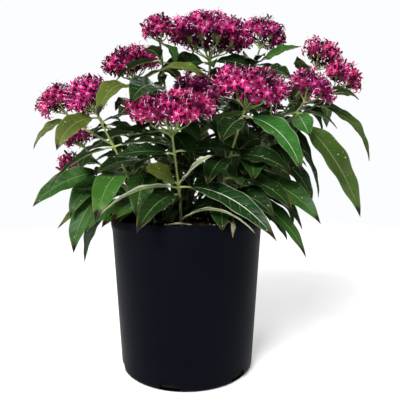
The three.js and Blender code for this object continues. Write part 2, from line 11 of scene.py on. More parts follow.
import bpy
import numpy as np
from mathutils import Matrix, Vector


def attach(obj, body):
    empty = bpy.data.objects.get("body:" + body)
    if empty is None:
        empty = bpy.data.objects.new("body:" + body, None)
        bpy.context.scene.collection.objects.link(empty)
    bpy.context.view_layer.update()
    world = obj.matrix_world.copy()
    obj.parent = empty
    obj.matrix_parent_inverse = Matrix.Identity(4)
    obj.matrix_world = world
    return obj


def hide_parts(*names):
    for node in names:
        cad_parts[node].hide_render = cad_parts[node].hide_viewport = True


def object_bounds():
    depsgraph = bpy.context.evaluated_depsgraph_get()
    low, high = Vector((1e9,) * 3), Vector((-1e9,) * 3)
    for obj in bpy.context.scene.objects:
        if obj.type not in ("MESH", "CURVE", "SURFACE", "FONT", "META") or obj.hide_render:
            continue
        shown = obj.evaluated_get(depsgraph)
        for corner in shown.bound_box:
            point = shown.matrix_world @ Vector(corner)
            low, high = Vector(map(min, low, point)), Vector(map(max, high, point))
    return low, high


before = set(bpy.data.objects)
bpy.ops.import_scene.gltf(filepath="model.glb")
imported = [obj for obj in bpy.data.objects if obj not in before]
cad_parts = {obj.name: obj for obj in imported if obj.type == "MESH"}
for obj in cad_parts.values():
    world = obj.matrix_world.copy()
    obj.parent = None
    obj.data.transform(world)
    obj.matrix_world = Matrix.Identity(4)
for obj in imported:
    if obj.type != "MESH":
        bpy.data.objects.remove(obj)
cad_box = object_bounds()

MM = 0.001
EAST, NORTH, UP = np.eye(3)
GOLDEN_ANGLE = math.pi * (3 - math.sqrt(5))

# ---- sizes, in millimetres

POT = Values(height=163, foot=72, rim=82.5, wall=2.2, floor=3, foot_round=4, lip=8, proud=1.1, sides=192)
LIP_FOOT = POT.height - POT.lip
TAPER = (POT.rim - POT.proud - POT.foot) / LIP_FOOT
WALL_LEVELS = (8, 40, 80, 120)
LIP = Values(
    under=((0.45, -1), (0.08, 0.5), (0, 2)),  # its soft underside: how far in, how high above its foot
    outer_round=0.9, inner_round=0.5,
)
SLOT = Values(count=6, width=20, height=9, depth=11, first_turn=-104, round=2.5, sill=0.8)
SOIL = Values(edge=150, mound=7, relief=1.2, gap=0.3, rings=30, sides=120, rough=0.5, bare_edge=3)
# What lies on the soil: how many, their radii, how they are stretched, and their material's slot.
CRUMBS = (
    (620, (0.8, 2.2), (1, 1, 0.8), 0),
    (170, (1.8, 4.6), (1.7, 1, 0.42), 1),
    (120, (0.7, 1.7), (1, 1, 1), 2),
)
# Withered leaves that lie on the rim: the points they pass through and their greatest half width.
DRY_LEAVES = (
    (((36, -56, 155), (40, -66, 164), (42, -72, 166), (43, -75, 161), (42.5, -75.5, 151)), 2.4),
    (((-27, -64, 154), (-21, -73, 161), (-11, -80, 165), (5, -81.5, 164.2)), 2.0),
)
# Dressed stems are a fifth thinner than the solids, and swell where leaves leave them.
STEM = Values(
    foot=1.6, top=1.0, steps=5, branch_steps=3, rooted=24, root_pull=0.4, top_pull=0.3, spacing=3.5,
    rounding=7, swell=0.22, swell_reach=3.2,
)
# Painted light and shade: stems in open view and their leaf stalks are painted lighter, as lit, and the
# other stems and their stalks darker, as shaded.
LIT_STEMS = ("front", "front_right", "shoulder", "left")  # in open view; they carry no inner leaves
SHADED_STEM_LIGHTNESS = 0.25  # lightness of the other stems and of their leaf stalks
HEAD = Values(
    lean=260, lowest=126, fullness=0.82, bands=200, sag=0.8, under=5, under_share=0.2, node_share=0.32
)
# The shape of every leaf's blade; shares are of its length or of its half width.
BLADE = Values(stalk=0.14, swell=0.75, narrow=1.15, fold=0.22, cup=1.25, wave=0.1, waves=1.5)
# Leaves that leave the stem in crosswise pairs, by ranges that each one's draws choose from.
PAIR = Values(
    length=(70, 98), upper_length=(46, 64), upper=45, slimness=0.31, rise=(-8, 24), bend=(42, 82),
    turns=((-62, 62), (12, 165)), heading=0.25, roll=0.45, twist=0.35, tries=1, shorter=0,
    light=(0.28, 1), yellow_power=2,
)
TO_TIP_TWIST = 0.25
# How a leaf of the solids swings aside where its first poses find no room.
ROOM = Values(tries=26, full=12, heading=0.75, rise=0.6, bend=0.6, least_bend=0.35, shorter=0.28, twist=0.4)
SAME_TIP = 0.05  # how near a leaf's tip has to lie to a corner of its solid

# What scene.py adds to the solids' own shapes.
LEAF = Values(
    rows=36, across=(-1, -0.82, -0.58, -0.32, -0.1, 0, 0.1, 0.32, 0.58, 0.82, 1),
    first=0.115,  # share of the length where the blade begins on its stalk
    least_half=0.35, thick=0.5,
    veins=9,  # pairs of side veins, which the rows of the grid run along
    sweep=0.12, quilt=0.6,
    quilt_full=9,  # the half width from which the quilting is at its full height
    ruffle=0.08, ruffles=4.3,
)
# The stalk and the midrib under the blade: where they start and end, and radii at shares of the length.
RIB = Values(
    ends=(0.008, 0.94), at=(0, 0.05, BLADE.stalk, 0.4, 0.94), radii=(1.3, 1.0, 0.95, 0.62, 0.18),
    sunk=0.55,
)
# The small leaves that fill the inside of the plant; their first values are used as PAIR's are.
INNER = Values(
    length=(46, 76), upper_length=(30, 54), upper=60, slimness=0.4, rise=(0, 42), bend=(55, 120),
    heading=0.6, roll=0.7, twist=0.5, tries=20,
    shorter=0.5,  # share of the length that is lost by the last try
    # The inner leaves draw a lower lightness than the outer ones, so they are painted darker as shade inside
    # the plant.
    light=(0.22, 2), yellow_power=3,
    first=14,  # lowest leaves above the soil
    below_head=14, step=9.5, rows=18, across=(-1, -0.6, -0.15, 0, 0.15, 0.6, 1),
)
# How far the inner leaves keep from everything else.
CLEAR = Values(
    cell=2.6,  # side of the cells in which two leaves may not both lie
    reach=(0.86, 0.9),  # shares of the plant's half width and half depth that leaves keep within
    soil=2, over_lip=3, inside_lip=8, over_head=5, under_head=14,
    beside_head=(1.05, 4),  # times the head's radius, and more
    view=70,  # how far in front of a head no leaf may hang
    view_side=1.1, view_height=3,
)
FLORET = Values(
    # Each layer is painted darker the deeper it lies, as shade inside the head.
    layers=((6.8, 0.0, 0.55), (8.0, 4.0, 0.2), (10.5, 8.5, 0.0)),  # spacing, depth, lightness
    flatter=0.6,  # share of a layer's depth by which its dome is lower
    petal=(4.3, 5.9), half_width=1.2, cup=0.28, throat=0.95, thick=0.3, buds=0.08, style=(2.8, 7.0),
    style_radii=(0.3, 0.26, 0.46),
    eye=1.1,  # radius of the eye, in throats
    outward=0.9,  # what turns a floret: the dome's normal, the head's axis and chance
    upward=0.15, tilt=0.5,
    drift=1.4,  # how far one stands out of its layer or sinks into it, and how far it moves aside
    aside=0.8,
    reflex=(0.05, 1.05),  # how far petals bend back
    opening=(0.1, 0.75),
    cluster=23,  # the florets of a head stand in smaller clusters this far apart
    groove=5.5,  # depth of the grooves between clusters
    groove_width=9,
    proud=2.6,  # how far a cluster may stand out of the dome, or sink into it
    splay=0.035,  # how far florets turn away from their cluster's middle, for each millimetre
    ragged=0.4,  # share of the lowest florets that is missing, and where these begin
    ragged_from=98,
    # Florets lower down the dome are painted lighter: painted light against the shade under the head.
    lower=0.22,  # how much lighter florets are for each radian down the dome
    # Florets sunk into the grooves are painted darker, and those that stand proud lighter, by this much for
    # each millimetre: painted shade and light.
    light_swing=0.5, sunk_dark=0.1,
)
# How far the petals of one floret differ from each other.
PETAL_SWING = Values(turn=0.12, length=0.09, twist=0.35, curl=0.2, width=0.12)
BUD = Values(length=(3.2, 4.6), at=(0, 0.25, 0.55, 0.82, 1.0), radii=(0.6, 1.05, 1.3, 0.95, 0.2), dark=0.6)
# The arms that carry a head's florets.
FAN = Values(
    spacing=4.6,  # between the ends of the outer ones
    outer=(0.52, 0.5),  # where these end: share of the head's radius, and rise
    inner=(0.2, 0.3),  # the same for the inner ones, whose rise is a share of the dome's height
    nodes=(0.75, 1.35), radii=(0.85, 0.55),
)
# Where the random draws of each kind begin, or how far apart those of each stem, branch or layer are.
SEED = Values(stem=1000, branch=100, pairs=50, inner=50000, extra=90000, head=10000, layer=5000)

# How light and how yellow a leaf is, each from 0 to 1. With next to no yellow its midrib is white; at full
# yellow the leaf is painted whitish, lightest at its edges, as a painted highlight.
TONES = {
    "ribbed": (0.16, 0.0),
    "striped": (0.75, 0.045),
    "deep": (0.06, 0.1),
    "fresh": (0.42, 0.2),
    "bright": (0.85, 0.3),
    "moss": (0.26, 0.4),
    "olive": (0.6, 0.85),
    "pale": (1.0, 1.0),
}

# Stems as in the part's source: foot, head (centre of its widest level, radius, dome height and, for
# some, how much it is stretched sideways), leaves given one by one (height on the stem, tip, rise, width,
# roll, tone), and the heights of the pairs.
STEMS = {
    "front": dict(
        foot=(-6, -38), head=(-15, -80, 268, 36, 13, 1.04),
        leaves=[
            (197, (75, -115, 154), 6, 24, 30, "ribbed"),
            (196, (-76, -112, 172), 14, 13, -15, "pale"),
            (199, (-38, -96, 214), 30, 21, 60, "olive"),
            (200, (22, -108, 226), 32, 16, 45, "pale"),
            (190, (-43, -105, 160), 4, 24, 20, "deep"),
            (163, (60, -120, 157), 34, 8, -10, "pale"),
            (231, (50, -62, 232), 12, 22, 30, "deep"),
            (229, (-68, -66, 226), 12, 24, 30, "deep"),
        ],
    ),
    "front_right": dict(
        foot=(32, -32), head=(60, -60, 291, 30, 18, 1.12),
        leaves=[
            (266, (101, -92, 211), -8, 27, 30, "striped"),
            (264, (30, -88, 238), -14, 24, 10, "deep"),
            (228, (100, -70, 208), 10, 26, 40, "deep"),
            (226, (18, -86, 200), 2, 24, 10, "deep"),
            (190, (80, -84, 170), 12, 24, 30, "deep"),
            (184, (46, -94, 169), 14, 22, 10, "deep"),
        ],
        pairs=[205],
    ),
    "right_low": dict(
        foot=(42, -12), head=(130, -28, 299, 21, 13, 1.12),
        leaves=[
            (271, (168, -62, 168), -40, 30, 40, "moss"),
            (252, (142, -14, 184), -22, 20, 45, "deep"),
            (204, (126, -72, 163), 6, 26, 35, "fresh"),
            (188, (115, -64, 129), -4, 22, 30, "fresh"),
            (186, (108, -18, 138), -6, 19, 40, "deep"),
            (274, (117, -62, 246), -30, 20, 30, "striped"),
        ],
        pairs=[222, 272],
        branches=[dict(at=238, head=(95, -2, 295, 9, 10))],
    ),
    "right": dict(
        foot=(58, 12), head=(157, 25, 345, 21, 14, 1.12),
        leaves=[(318, (118, -8, 336), 10, 24, 30, "bright")],
        pairs=[205, 245, 312],
        branches=[
            dict(
                at=262,
                head=(171, -4, 314, 18, 15, 1.1),
                leaves=[(286, (195, -18, 223), -12, 20, 35, "moss")],
                pairs=[294],
            )
        ],
    ),
    "crest": dict(
        foot=(50, 4), head=(26, 0, 358, 41, 17, 1.1),
        leaves=[
            (330, (-30, -8, 316), 6, 30, 50, "deep"),
            (331, (76, -18, 314), 6, 26, 45, "deep"),
            (304, (46, -52, 314), 34, 22, 20, "deep"),
        ],
        pairs=[195, 230, 262, 296, 324],
    ),
    "crest_right": dict(
        foot=(54, 30), head=(90, 32, 371, 22, 15, 1.14),
        leaves=[
            (337, (122, -8, 346), 20, 20, 50, "bright"),
            (328, (110, -14, 313), 4, 24, 30, "deep"),
        ],
        pairs=[235, 275, 310, 335],
    ),
    "crest_left": dict(
        foot=(-16, -2), head=(-28, -33, 354, 16, 14),
        leaves=[(341, (-12, -41, 318), -15, 19, 0, "fresh")],
        pairs=[190, 225, 262, 294, 324],
    ),
    "shoulder": dict(
        foot=(-36, -8), head=(-60, -12, 325, 26, 15, 1.08),
        leaves=[
            (298, (-80, -76, 262), 14, 25, 15, "olive"),
            (302, (20, -92, 291), 24, 21, 25, "olive"),
            (184, (-68, -84, 168), 8, 26, 20, "fresh"),
            (222, (-86, -62, 210), 12, 24, 25, "deep"),
        ],
        pairs=[215, 252, 284],
    ),
    "left": dict(
        foot=(-52, -16), head=(-99, -27, 289, 21, 17),
        leaves=[
            (267, (-122, -62, 232), 2, 23, 30, "olive"),
            (212, (-80, -94, 168), 4, 26, 15, "bright"),
            (182, (-97, -66, 154), 4, 23, 20, "fresh"),
            (186, (-114, -38, 166), 8, 22, 30, "deep"),
        ],
        pairs=[186, 238],
        branches=[
            dict(at=240, head=(-136, -8, 287, 19, 16), leaves=[(268, (-161, -14, 236), -8, 16, 40, "olive")])
        ],
    ),
    "left_low": dict(
        foot=(-50, 12), head=(-123, 20, 252, 15, 10),
        leaves=[
            (212, (-160, -24, 176), 2, 26, 40, "fresh"),
            (202, (-116, -34, 129), -14, 29, 20, "fresh"),
            (188, (-142, -2, 150), -2, 22, 40, "olive"),
        ],
        pairs=[180],
        branches=[dict(at=196, head=(-135, 25, 221, 13, 13))],
    ),
    "middle": dict(foot=(0, 12), head=(9, -28, 295, 21, 13, 1.1), pairs=[180, 208, 240, 272]),
    "back_left": dict(
        foot=(-28, 36), head=(-45, 100, 297, 30, 16, 1.05),
        pairs=[180, 215, 248, 275],
        branches=[dict(at=205, head=(-122, 84, 300, 20, 13), pairs=[240, 268])],
    ),
    "back": dict(foot=(4, 46), head=(25, 112, 314, 33, 17, 1.05), pairs=[178, 212, 246, 284]),
    "back_right": dict(
        foot=(32, 46), head=(93, 97, 310, 28, 15, 1.05),
        pairs=[182, 216, 250, 284],
        branches=[dict(at=220, head=(140, 78, 312, 18, 12), pairs=[266])],
    ),
}

# A few more leaves of the same kind that are left to the scene: the stem, and the leaf as above.
EXTRA_LEAVES = (
    ("right_low", (232, (130, -30, 179), -10, 24, 40, "deep")),
    ("right_low", (196, (116, -46, 154), 8, 20, 30, "deep")),
    ("right", (262, (128, -34, 226), -5, 18, 30, "deep")),
    ("right", (290, (176, -14, 272), 5, 12, 30, "deep")),
    ("crest_right", (333, (58, -30, 327), 14, 18, 30, "deep")),
    ("left_low", (204, (-120, -30, 165), 10, 24, 30, "fresh")),
    ("left", (168, (-80, -68, 160), 25, 18, 10, "fresh")),
    ("shoulder", (170, (-66, -80, 163), 24, 18, 20, "fresh")),
)

# ---- numbers and directions


def draw(*keys):
    """A repeatable draw from 0 to 1 for a list of whole numbers."""
    h = 2166136261
    for key in keys:
        h = ((h ^ key) * 16777619) & 0xFFFFFFFF
        h ^= h >> 13
        h = (h * 1540483477) & 0xFFFFFFFF
        h ^= h >> 15
    return h / 4294967296


def swing(amount, *keys):
    """A repeatable draw either way of zero, up to an amount."""
    return (2 * draw(*keys) - 1) * amount


def mix(ends, t):
    return ends[0] + (ends[1] - ends[0]) * t


def unit(v):
    """A vector, or each of many, at length 1."""
    return v / np.maximum(np.linalg.norm(v, axis=-1, keepdims=True), 1e-9)


def towards(side, up, turn):
    """A way turned by an angle from one side towards another that is square to it."""
    return side * np.cos(turn) + up * np.sin(turn)


def square_to(way):
    """Two directions square to a way, so that side, up and way are a right-handed set."""
    side = unit(np.cross(NORTH, way))
    return side, np.cross(way, side)


def cubic(start, pull, last_pull, end, steps):
    """Points of a curve that leaves its start towards one point and reaches its end from another."""
    t = np.linspace(0, 1, steps + 1)[:, None]
    return start * (1 - t) ** 3 + pull * 3 * t * (1 - t) ** 2 + last_pull * 3 * t**2 * (1 - t) + end * t**3


def lengths_along(path):
    """How far each point of a path is from its start, along it."""
    return np.concatenate([[0], np.cumsum(np.linalg.norm(np.diff(path, axis=0), axis=1))])


# ---- the plant's frame, as in the part


def pot_inside(z):
    return POT.foot - POT.wall + TAPER * z


def soil_level(x, y):
    share, turn = np.hypot(x, y) / pot_inside(SOIL.edge), np.arctan2(y, x)
    lumps = np.sin(5 * turn + 7 * share) * np.cos(9 * share + 3 * turn)
    mound = SOIL.mound * (1 - share * share)
    return SOIL.edge + mound + SOIL.relief * lumps * np.minimum(1, 3 * share)


def full(value, power=HEAD.fullness):
    """The sine or cosine of an angle from a dome's top, with the dome's fuller shoulders."""
    return np.sign(value) * np.abs(value) ** power


def head_axis(head):
    return unit(np.array([head[0] / HEAD.lean, head[1] / HEAD.lean, 1]))


def seat_of(head):
    return np.array(head[:3], float) - head_axis(head) * (HEAD.under + HEAD.under_share * head[3])


def spine_of(start, start_way, head, steps):
    """A stem or branch as points of a curve from its root to the seat of its head."""
    end = seat_of(head)
    reach = np.linalg.norm(end - start)
    root_pull, top_pull = start_way * STEM.root_pull, head_axis(head) * STEM.top_pull
    return cubic(start, start + root_pull * reach, end - top_pull * reach, end, steps)


def on_spine(spine, z):
    """The point of a rising spine at a height, and the way the spine runs there."""
    above = np.nonzero(spine[:, 2] > z)[0]
    after = above[0] if len(above) and above[0] > 0 else len(spine) - 1
    low, high = spine[after - 1], spine[after]
    return low + (high - low) * (z - low[2]) / (high[2] - low[2]), unit(high - low)


def leaf_to_tip(spine, leaf, seed):
    """A leaf whose height on the stem, tip, rise, width, roll and tone are given."""
    level, tip, rise, width, roll, tone = leaf
    start = on_spine(spine, level)[0]
    run = np.array(tip, float) - start
    flat, rise = math.hypot(run[0], run[1]), math.radians(rise)
    bend = 2 * (rise - math.atan2(run[2], flat))
    return dict(
        start=start,
        heading=math.atan2(run[1], run[0]),
        rise=rise,
        bend=bend,
        length=math.hypot(flat, run[2]) * (bend / 2) / math.sin(bend / 2),
        width=width,
        roll=math.radians(roll) * np.sign(run[0]),
        twist=swing(TO_TIP_TWIST, seed, 5),
        phase=draw(seed, 6),
        tone=TONES[tone],
    )


def leaf_by_rule(rule, start, heading, is_upper, seed, *attempt):
    """A leaf that follows PAIR or INNER; an inner one is drawn anew, and shorter, at each attempt."""
    keys = (seed, *attempt)
    length = mix(rule.upper_length if is_upper else rule.length, draw(*keys, 1))
    length *= 1 - rule.shorter * sum(attempt) / rule.tries
    light, power = rule.light
    return dict(
        start=start,
        heading=heading + swing(rule.heading, *keys, 2),
        rise=math.radians(mix(rule.rise, draw(*keys, 3))),
        bend=math.radians(mix(rule.bend, draw(*keys, 4))),
        length=length,
        width=length * rule.slimness,
        roll=swing(rule.roll, *keys, 7),
        twist=swing(rule.twist, *keys, 5),
        phase=draw(seed, 6),
        tone=(light * draw(seed, 31) ** power, 0.1 + 0.25 * draw(seed, 33) ** rule.yellow_power),
    )


def swung_aside(leaf, seed, attempt):
    """A leaf as its solid tried it when its first poses found no room."""
    if attempt == 0:
        return leaf
    far = min(1, attempt / ROOM.full)
    return dict(
        leaf,
        heading=leaf["heading"] + swing(far * ROOM.heading, seed, attempt, 11),
        rise=leaf["rise"] + swing(far * ROOM.rise, seed, attempt, 12),
        bend=max(ROOM.least_bend, leaf["bend"] + swing(far * ROOM.bend, seed, attempt, 13)),
        length=leaf["length"] * (1 - ROOM.shorter * far * draw(seed, attempt, 14)),
        twist=leaf["twist"] + swing(far * ROOM.twist, seed, attempt, 15),
    )


def midrib(leaf, share):
    """Points of the midrib at shares of its length, with the ways across and out of the blade."""
    share = np.asarray(share, float)[..., None]
    slope = leaf["rise"] - leaf["bend"] * share
    size = leaf["length"] / leaf["bend"]
    ahead = towards(EAST, NORTH, leaf["heading"])
    place = leaf["start"] + ahead * size * (math.sin(leaf["rise"]) - np.sin(slope))
    place = place + UP * size * (np.cos(slope) - math.cos(leaf["rise"]))
    level, square = np.cross(UP, ahead), towards(UP, -ahead, slope)
    roll = leaf["roll"] * np.minimum(1, share / BLADE.stalk) + leaf["twist"] * share
    return place, towards(level, square, roll), towards(square, -level, roll)


def taken_pose(leaf, seed, corners):
    """The pose in which the leaf's solid grew, found by its tip, or None where it found no room."""
    for attempt in range(ROOM.tries):
        pose = swung_aside(leaf, seed, attempt)
        tip = midrib(pose, 1)[0]
        if np.min(np.sum((corners - tip) ** 2, axis=1)) < SAME_TIP**2:
            return pose
    return None


def half_width(leaf, share):
    swell, narrow = BLADE.swell, BLADE.narrow
    widest = swell / (swell + narrow)
    t = np.clip((share - BLADE.stalk) / (1 - BLADE.stalk), 0, 1)
    return leaf["width"] / 2 * (t / widest) ** swell * ((1 - t) / (1 - widest)) ** narrow


def blade_points(leaf, share, u, half, more=0.0):
    """Points of a blade at shares of its length and width, with its fold, its wave and any more lift."""
    place, side, normal = midrib(leaf, share)
    wave = np.sin(2 * np.pi * (BLADE.waves * share + leaf["phase"]) + np.sign(u))
    lift = half * (BLADE.fold * np.abs(u) ** BLADE.cup + BLADE.wave * wave * u**2) + more
    return place + side * (u * half)[..., None] + normal * lift[..., None]


# ---- meshes


class Shape:
    """The points and faces of one piece, in millimetres, with two maps: pattern and tone."""

    def __init__(self):
        self.points, self.faces, self.slots, self.pattern, self.tone = [], [], [], [], []
        self.count = 0

    def add(self, points, faces, slot=0, pattern=(0.5, 0.5), tone=(0, 0)):
        """Faces are lists of corners; slot is one number or one for each face."""
        points = np.asarray(points, float).reshape(-1, 3)
        self.points.append(points)
        self.pattern.append(np.broadcast_to(np.asarray(pattern, float), (len(points), 2)))
        self.tone.append(np.broadcast_to(np.asarray(tone, float), (len(points), 2)))
        self.faces += [[corner + self.count for corner in face] for face in faces]
        self.slots += [slot] * len(faces) if isinstance(slot, int) else slot
        self.count += len(points)

    def piece(self, name, materials, sharp=50):
        """Makes the object; its edges are sharp where they bend by more than an angle in degrees."""
        mesh = bpy.data.meshes.new(name)
        mesh.from_pydata((np.concatenate(self.points) * MM).tolist(), [], self.faces)
        mesh.polygons.foreach_set("material_index", self.slots)
        corners = np.empty(len(mesh.loops), np.int32)
        mesh.loops.foreach_get("vertex_index", corners)
        for title, values in (("pattern", self.pattern), ("tone", self.tone)):
            layer = mesh.uv_layers.new(name=title)
            layer.data.foreach_set("uv", np.concatenate(values)[corners].astype(np.float32).ravel())
        for material in materials:
            mesh.materials.append(material)
        mesh.validate()
        mesh.shade_smooth()
        mesh.set_sharp_from_angle(angle=math.radians(sharp))
        made = bpy.data.objects.new(name, mesh)
        bpy.context.scene.collection.objects.link(made)
        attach(made, "root")
        return made


def add_tube(shape, path, radii, sides, slot, tone, twist=0.0):
    """A closed round tube along a path, with a radius at each point."""
    path = np.asarray(path, float)
    ways = unit(np.gradient(path, axis=0))
    side = square_to(ways[0])[0] if abs(ways[0][1]) < 0.99 else EAST
    turns = twist + 2 * np.pi * np.arange(sides) / sides
    rings = []
    for point, way, radius in zip(path, ways, radii):
        side = unit(side - way * (side @ way))
        rings.append(point + radius * towards(side, np.cross(way, side), turns[:, None]))
    faces = []
    for r in range(len(path) - 1):
        for i in range(sides):
            a, b = r * sides + i, r * sides + (i + 1) % sides
            faces.append((a, b, b + sides, a + sides))
    faces.append(tuple(range(sides))[::-1])
    faces.append(tuple(range((len(path) - 1) * sides, len(path) * sides)))
    across, along = np.tile(np.arange(sides) / sides, len(path)), lengths_along(path)
    pattern = np.stack([across, np.repeat(along / along[-1], sides)], 1)
    shape.add(np.concatenate(rings), faces, slot, pattern, tone)


def add_blade(shape, middle, tip, thick, slots, u, row, tone):
    """A closed thin blade about a grid of points that runs out to a tip; both faces share the rim.

    u goes from -1 to 1 across the blade, and row from 0 at its foot towards 1 at its tip.
    """
    rows, columns = middle.shape[:2]
    normal = unit(np.cross(np.gradient(middle, axis=0), np.gradient(middle, axis=1)))
    top = np.arange(rows * columns).reshape(rows, columns)
    inner = np.zeros((rows, columns), bool)
    inner[1:, 1:-1] = True
    below = top.copy()
    below[inner] = rows * columns + np.arange(inner.sum())
    raised = middle + normal * (inner[..., None] * thick / 2)
    lowered = (middle - normal * thick / 2)[inner]
    end = rows * columns + inner.sum()
    faces, face_slots = [], []
    for sheet, order, slot in ((top, -1, slots[0]), (below, 1, slots[1])):
        quads = np.stack([sheet[:-1, :-1], sheet[:-1, 1:], sheet[1:, 1:], sheet[1:, :-1]], -1)
        fan = np.stack([sheet[-1, :-1], sheet[-1, 1:], np.full(columns - 1, end)], -1)
        sheet_faces = quads.reshape(-1, 4).tolist() + fan.tolist()
        faces += [face[::order] for face in sheet_faces]
        face_slots += [slot] * len(sheet_faces)
    pattern = np.stack(np.broadcast_arrays(0.5 + 0.5 * u, row), -1)
    pattern = np.concatenate([pattern.reshape(-1, 2), pattern[inner], [(0.5, 1)]])
    shape.add(np.concatenate([raised.reshape(-1, 3), lowered, [tip]]), faces, face_slots, pattern, tone)


def smooth_path(points, spacing, reach):
    """A row of points resampled evenly, with its corners rounded, and the lengths along it."""
    along = lengths_along(points)
    at = np.linspace(0, along[-1], max(4, round(along[-1] / spacing)))
    room = np.minimum(reach, np.minimum(at, along[-1] - at))
    near = at + room * np.linspace(-1, 1, 5)[:, None]
    return np.stack([np.interp(near, along, axis).mean(axis=0) for axis in points.T], 1), at


# ---- leaves and stems

LEAF_TOP, LEAF_UNDER, STALK, BARK = range(4)


def near_head(head, points):
    """True where a point lies close round a head, or hangs in front of it."""
    axis, (wider, beside) = head_axis(head), CLEAR.beside_head
    offset = points - np.array(head[:3], float)
    tall = offset @ axis
    wide = np.linalg.norm(offset - tall[:, None] * axis, axis=1)
    height = head[4] + np.where(tall < 0, CLEAR.under_head, CLEAR.over_head)
    is_round = (wide / (head[3] * wider + beside)) ** 2 + (tall / height) ** 2 < 1
    x, y, z = offset.T
    is_level = (np.abs(x) < head[3] * CLEAR.view_side) & (np.abs(z) < head[4] + CLEAR.view_height)
    return np.any(is_round | is_level & (y < 0) & (y > -CLEAR.view))


class Room:
    """The small cells of space that leaves take up, and where no more leaves may go."""

    def __init__(self, heads):
        self.taken = set()
        self.heads = heads
        self.grid = np.meshgrid(np.linspace(0.1, 1, 46), np.linspace(-1, 1, 15), indexing="ij")
        low, high = (np.array(corner[:2]) / MM for corner in cad_box)
        self.middle, self.half = (low + high) / 2, (high - low) / 2

    def points(self, leaf):
        """Points close together all over a leaf."""
        share, u = self.grid
        return blade_points(leaf, share, u, half_width(leaf, share)).reshape(-1, 3)

    def cells(self, points):
        return set(map(tuple, np.floor(points / CLEAR.cell).astype(int).tolist()))

    def take(self, points):
        self.taken |= self.cells(points)

    def fits(self, points):
        """True where a leaf's points keep clear of the outside, the pot, the soil, heads and leaves."""
        x, y, z = points.T
        outside = np.abs(points[:, :2] - self.middle) / self.half > CLEAR.reach
        near_lip = (z < POT.height + CLEAR.over_lip) & (np.hypot(x, y) > POT.rim - CLEAR.inside_lip)
        if np.any(outside) or np.any(near_lip | (z < soil_level(x, y) + CLEAR.soil)):
            return False
        if any(near_head(head, points) for head in self.heads):
            return False
        return self.taken.isdisjoint(self.cells(points))


def add_leaf(shape, leaf, seed, grid, lightness):
    """The blade follows its solid's fold and wave; its grid's rows sweep along the side veins."""
    row, u = np.meshgrid(np.linspace(0, 1, grid.rows + 1)[:-1], grid.across, indexing="ij")
    out = np.abs(u)
    swept = row + LEAF.sweep * out**1.3 * 4 * row * (1 - row)
    share = LEAF.first + (1 - LEAF.first) * swept
    half = np.maximum(half_width(leaf, share), LEAF.least_half)
    ruffle = np.sin(2 * np.pi * (LEAF.ruffles * share + draw(seed, 41)) + 2.1 * np.sign(u))
    between = np.abs(np.sin(np.pi * LEAF.veins * row))
    quilt = (between**0.7 - 0.55) * np.sin(np.pi * out**0.8) * np.minimum(1, half / LEAF.quilt_full)
    lift = LEAF.ruffle * half * ruffle * out**3 + LEAF.quilt * quilt
    middle, tip = blade_points(leaf, share, u, half, lift), midrib(leaf, 1)[0]
    add_blade(shape, middle, tip, LEAF.thick, (LEAF_TOP, LEAF_UNDER), u, row, leaf["tone"])

    stalk, (start, end) = BLADE.stalk, RIB.ends
    share = np.concatenate([np.linspace(start, stalk, 5), np.linspace(0.2, end, 10)])
    radii = np.interp(share, RIB.at, RIB.radii)
    place, _, normal = midrib(leaf, share)
    sunk = np.where(share < stalk, 0, radii * RIB.sunk + LEAF.thick / 4)
    add_tube(shape, place - normal * sunk[:, None], radii, 6, STALK, (lightness, 0))


def add_stem(shape, spine, radii, is_rooted, nodes, lightness):
    """A stem that follows its solid's spine, a little swollen where leaves leave it."""
    foot = [spine[0] - UP * STEM.rooted] if is_rooted else []
    path, along = smooth_path(np.array([*foot, *spine]), STEM.spacing, STEM.rounding)
    width = np.interp(along, (0, along[-1]), radii)
    for z in nodes:
        away = along - along[np.argmin(np.abs(path[:, 2] - z))]
        width = width * (1 + STEM.swell * np.exp(-((away / STEM.swell_reach) ** 2)))
    add_tube(shape, path, width, 10, BARK, (lightness, 0))


def plant_parts(stem):
    """The stem and its branches, each with its spine."""
    ground = np.array([*stem["foot"], soil_level(*stem["foot"])])
    parts = [dict(stem, spine=spine_of(ground, UP, stem["head"], STEM.steps))]
    for branch in stem.get("branches", []):
        point, way = on_spine(parts[0]["spine"], branch["at"])
        outward = unit(np.array([*(branch["head"][:2] - point[:2]), 0]))
        spine = spine_of(point, unit(way + outward), branch["head"], STEM.branch_steps)
        parts.append(dict(branch, spine=spine))
    return parts


def leaves_of(part, first_seed):
    """Every leaf that a stem may carry, as (leaf, seed)."""
    spine, head = part["spine"], part["head"]
    by_hand = enumerate(part.get("leaves", []), first_seed)
    leaves = [(leaf_to_tip(spine, leaf, seed), seed) for seed, leaf in by_hand]
    outward = math.atan2(head[1], head[0])
    seed = first_seed + SEED.pairs
    for i, level in enumerate(part.get("pairs", [])):
        start, is_upper = on_spine(spine, level)[0], level > head[2] - PAIR.upper
        for turn in PAIR.turns[i % 2]:
            leaves.append((leaf_by_rule(PAIR, start, outward + math.radians(turn), is_upper, seed), seed))
            seed += 1
    return leaves


def grown_leaves(name, number, parts):
    """The leaves of a stem that its solid carries, as (leaf, seed, grid)."""
    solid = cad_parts["stem_" + name].data
    corners = np.array([v.co for v in solid.vertices]) / MM
    grown = []
    for p, part in enumerate(parts):
        for leaf, seed in leaves_of(part, SEED.stem * number + SEED.branch * p):
            pose = taken_pose(leaf, seed, corners)
            if pose:
                grown.append((pose, seed, LEAF))
    return grown


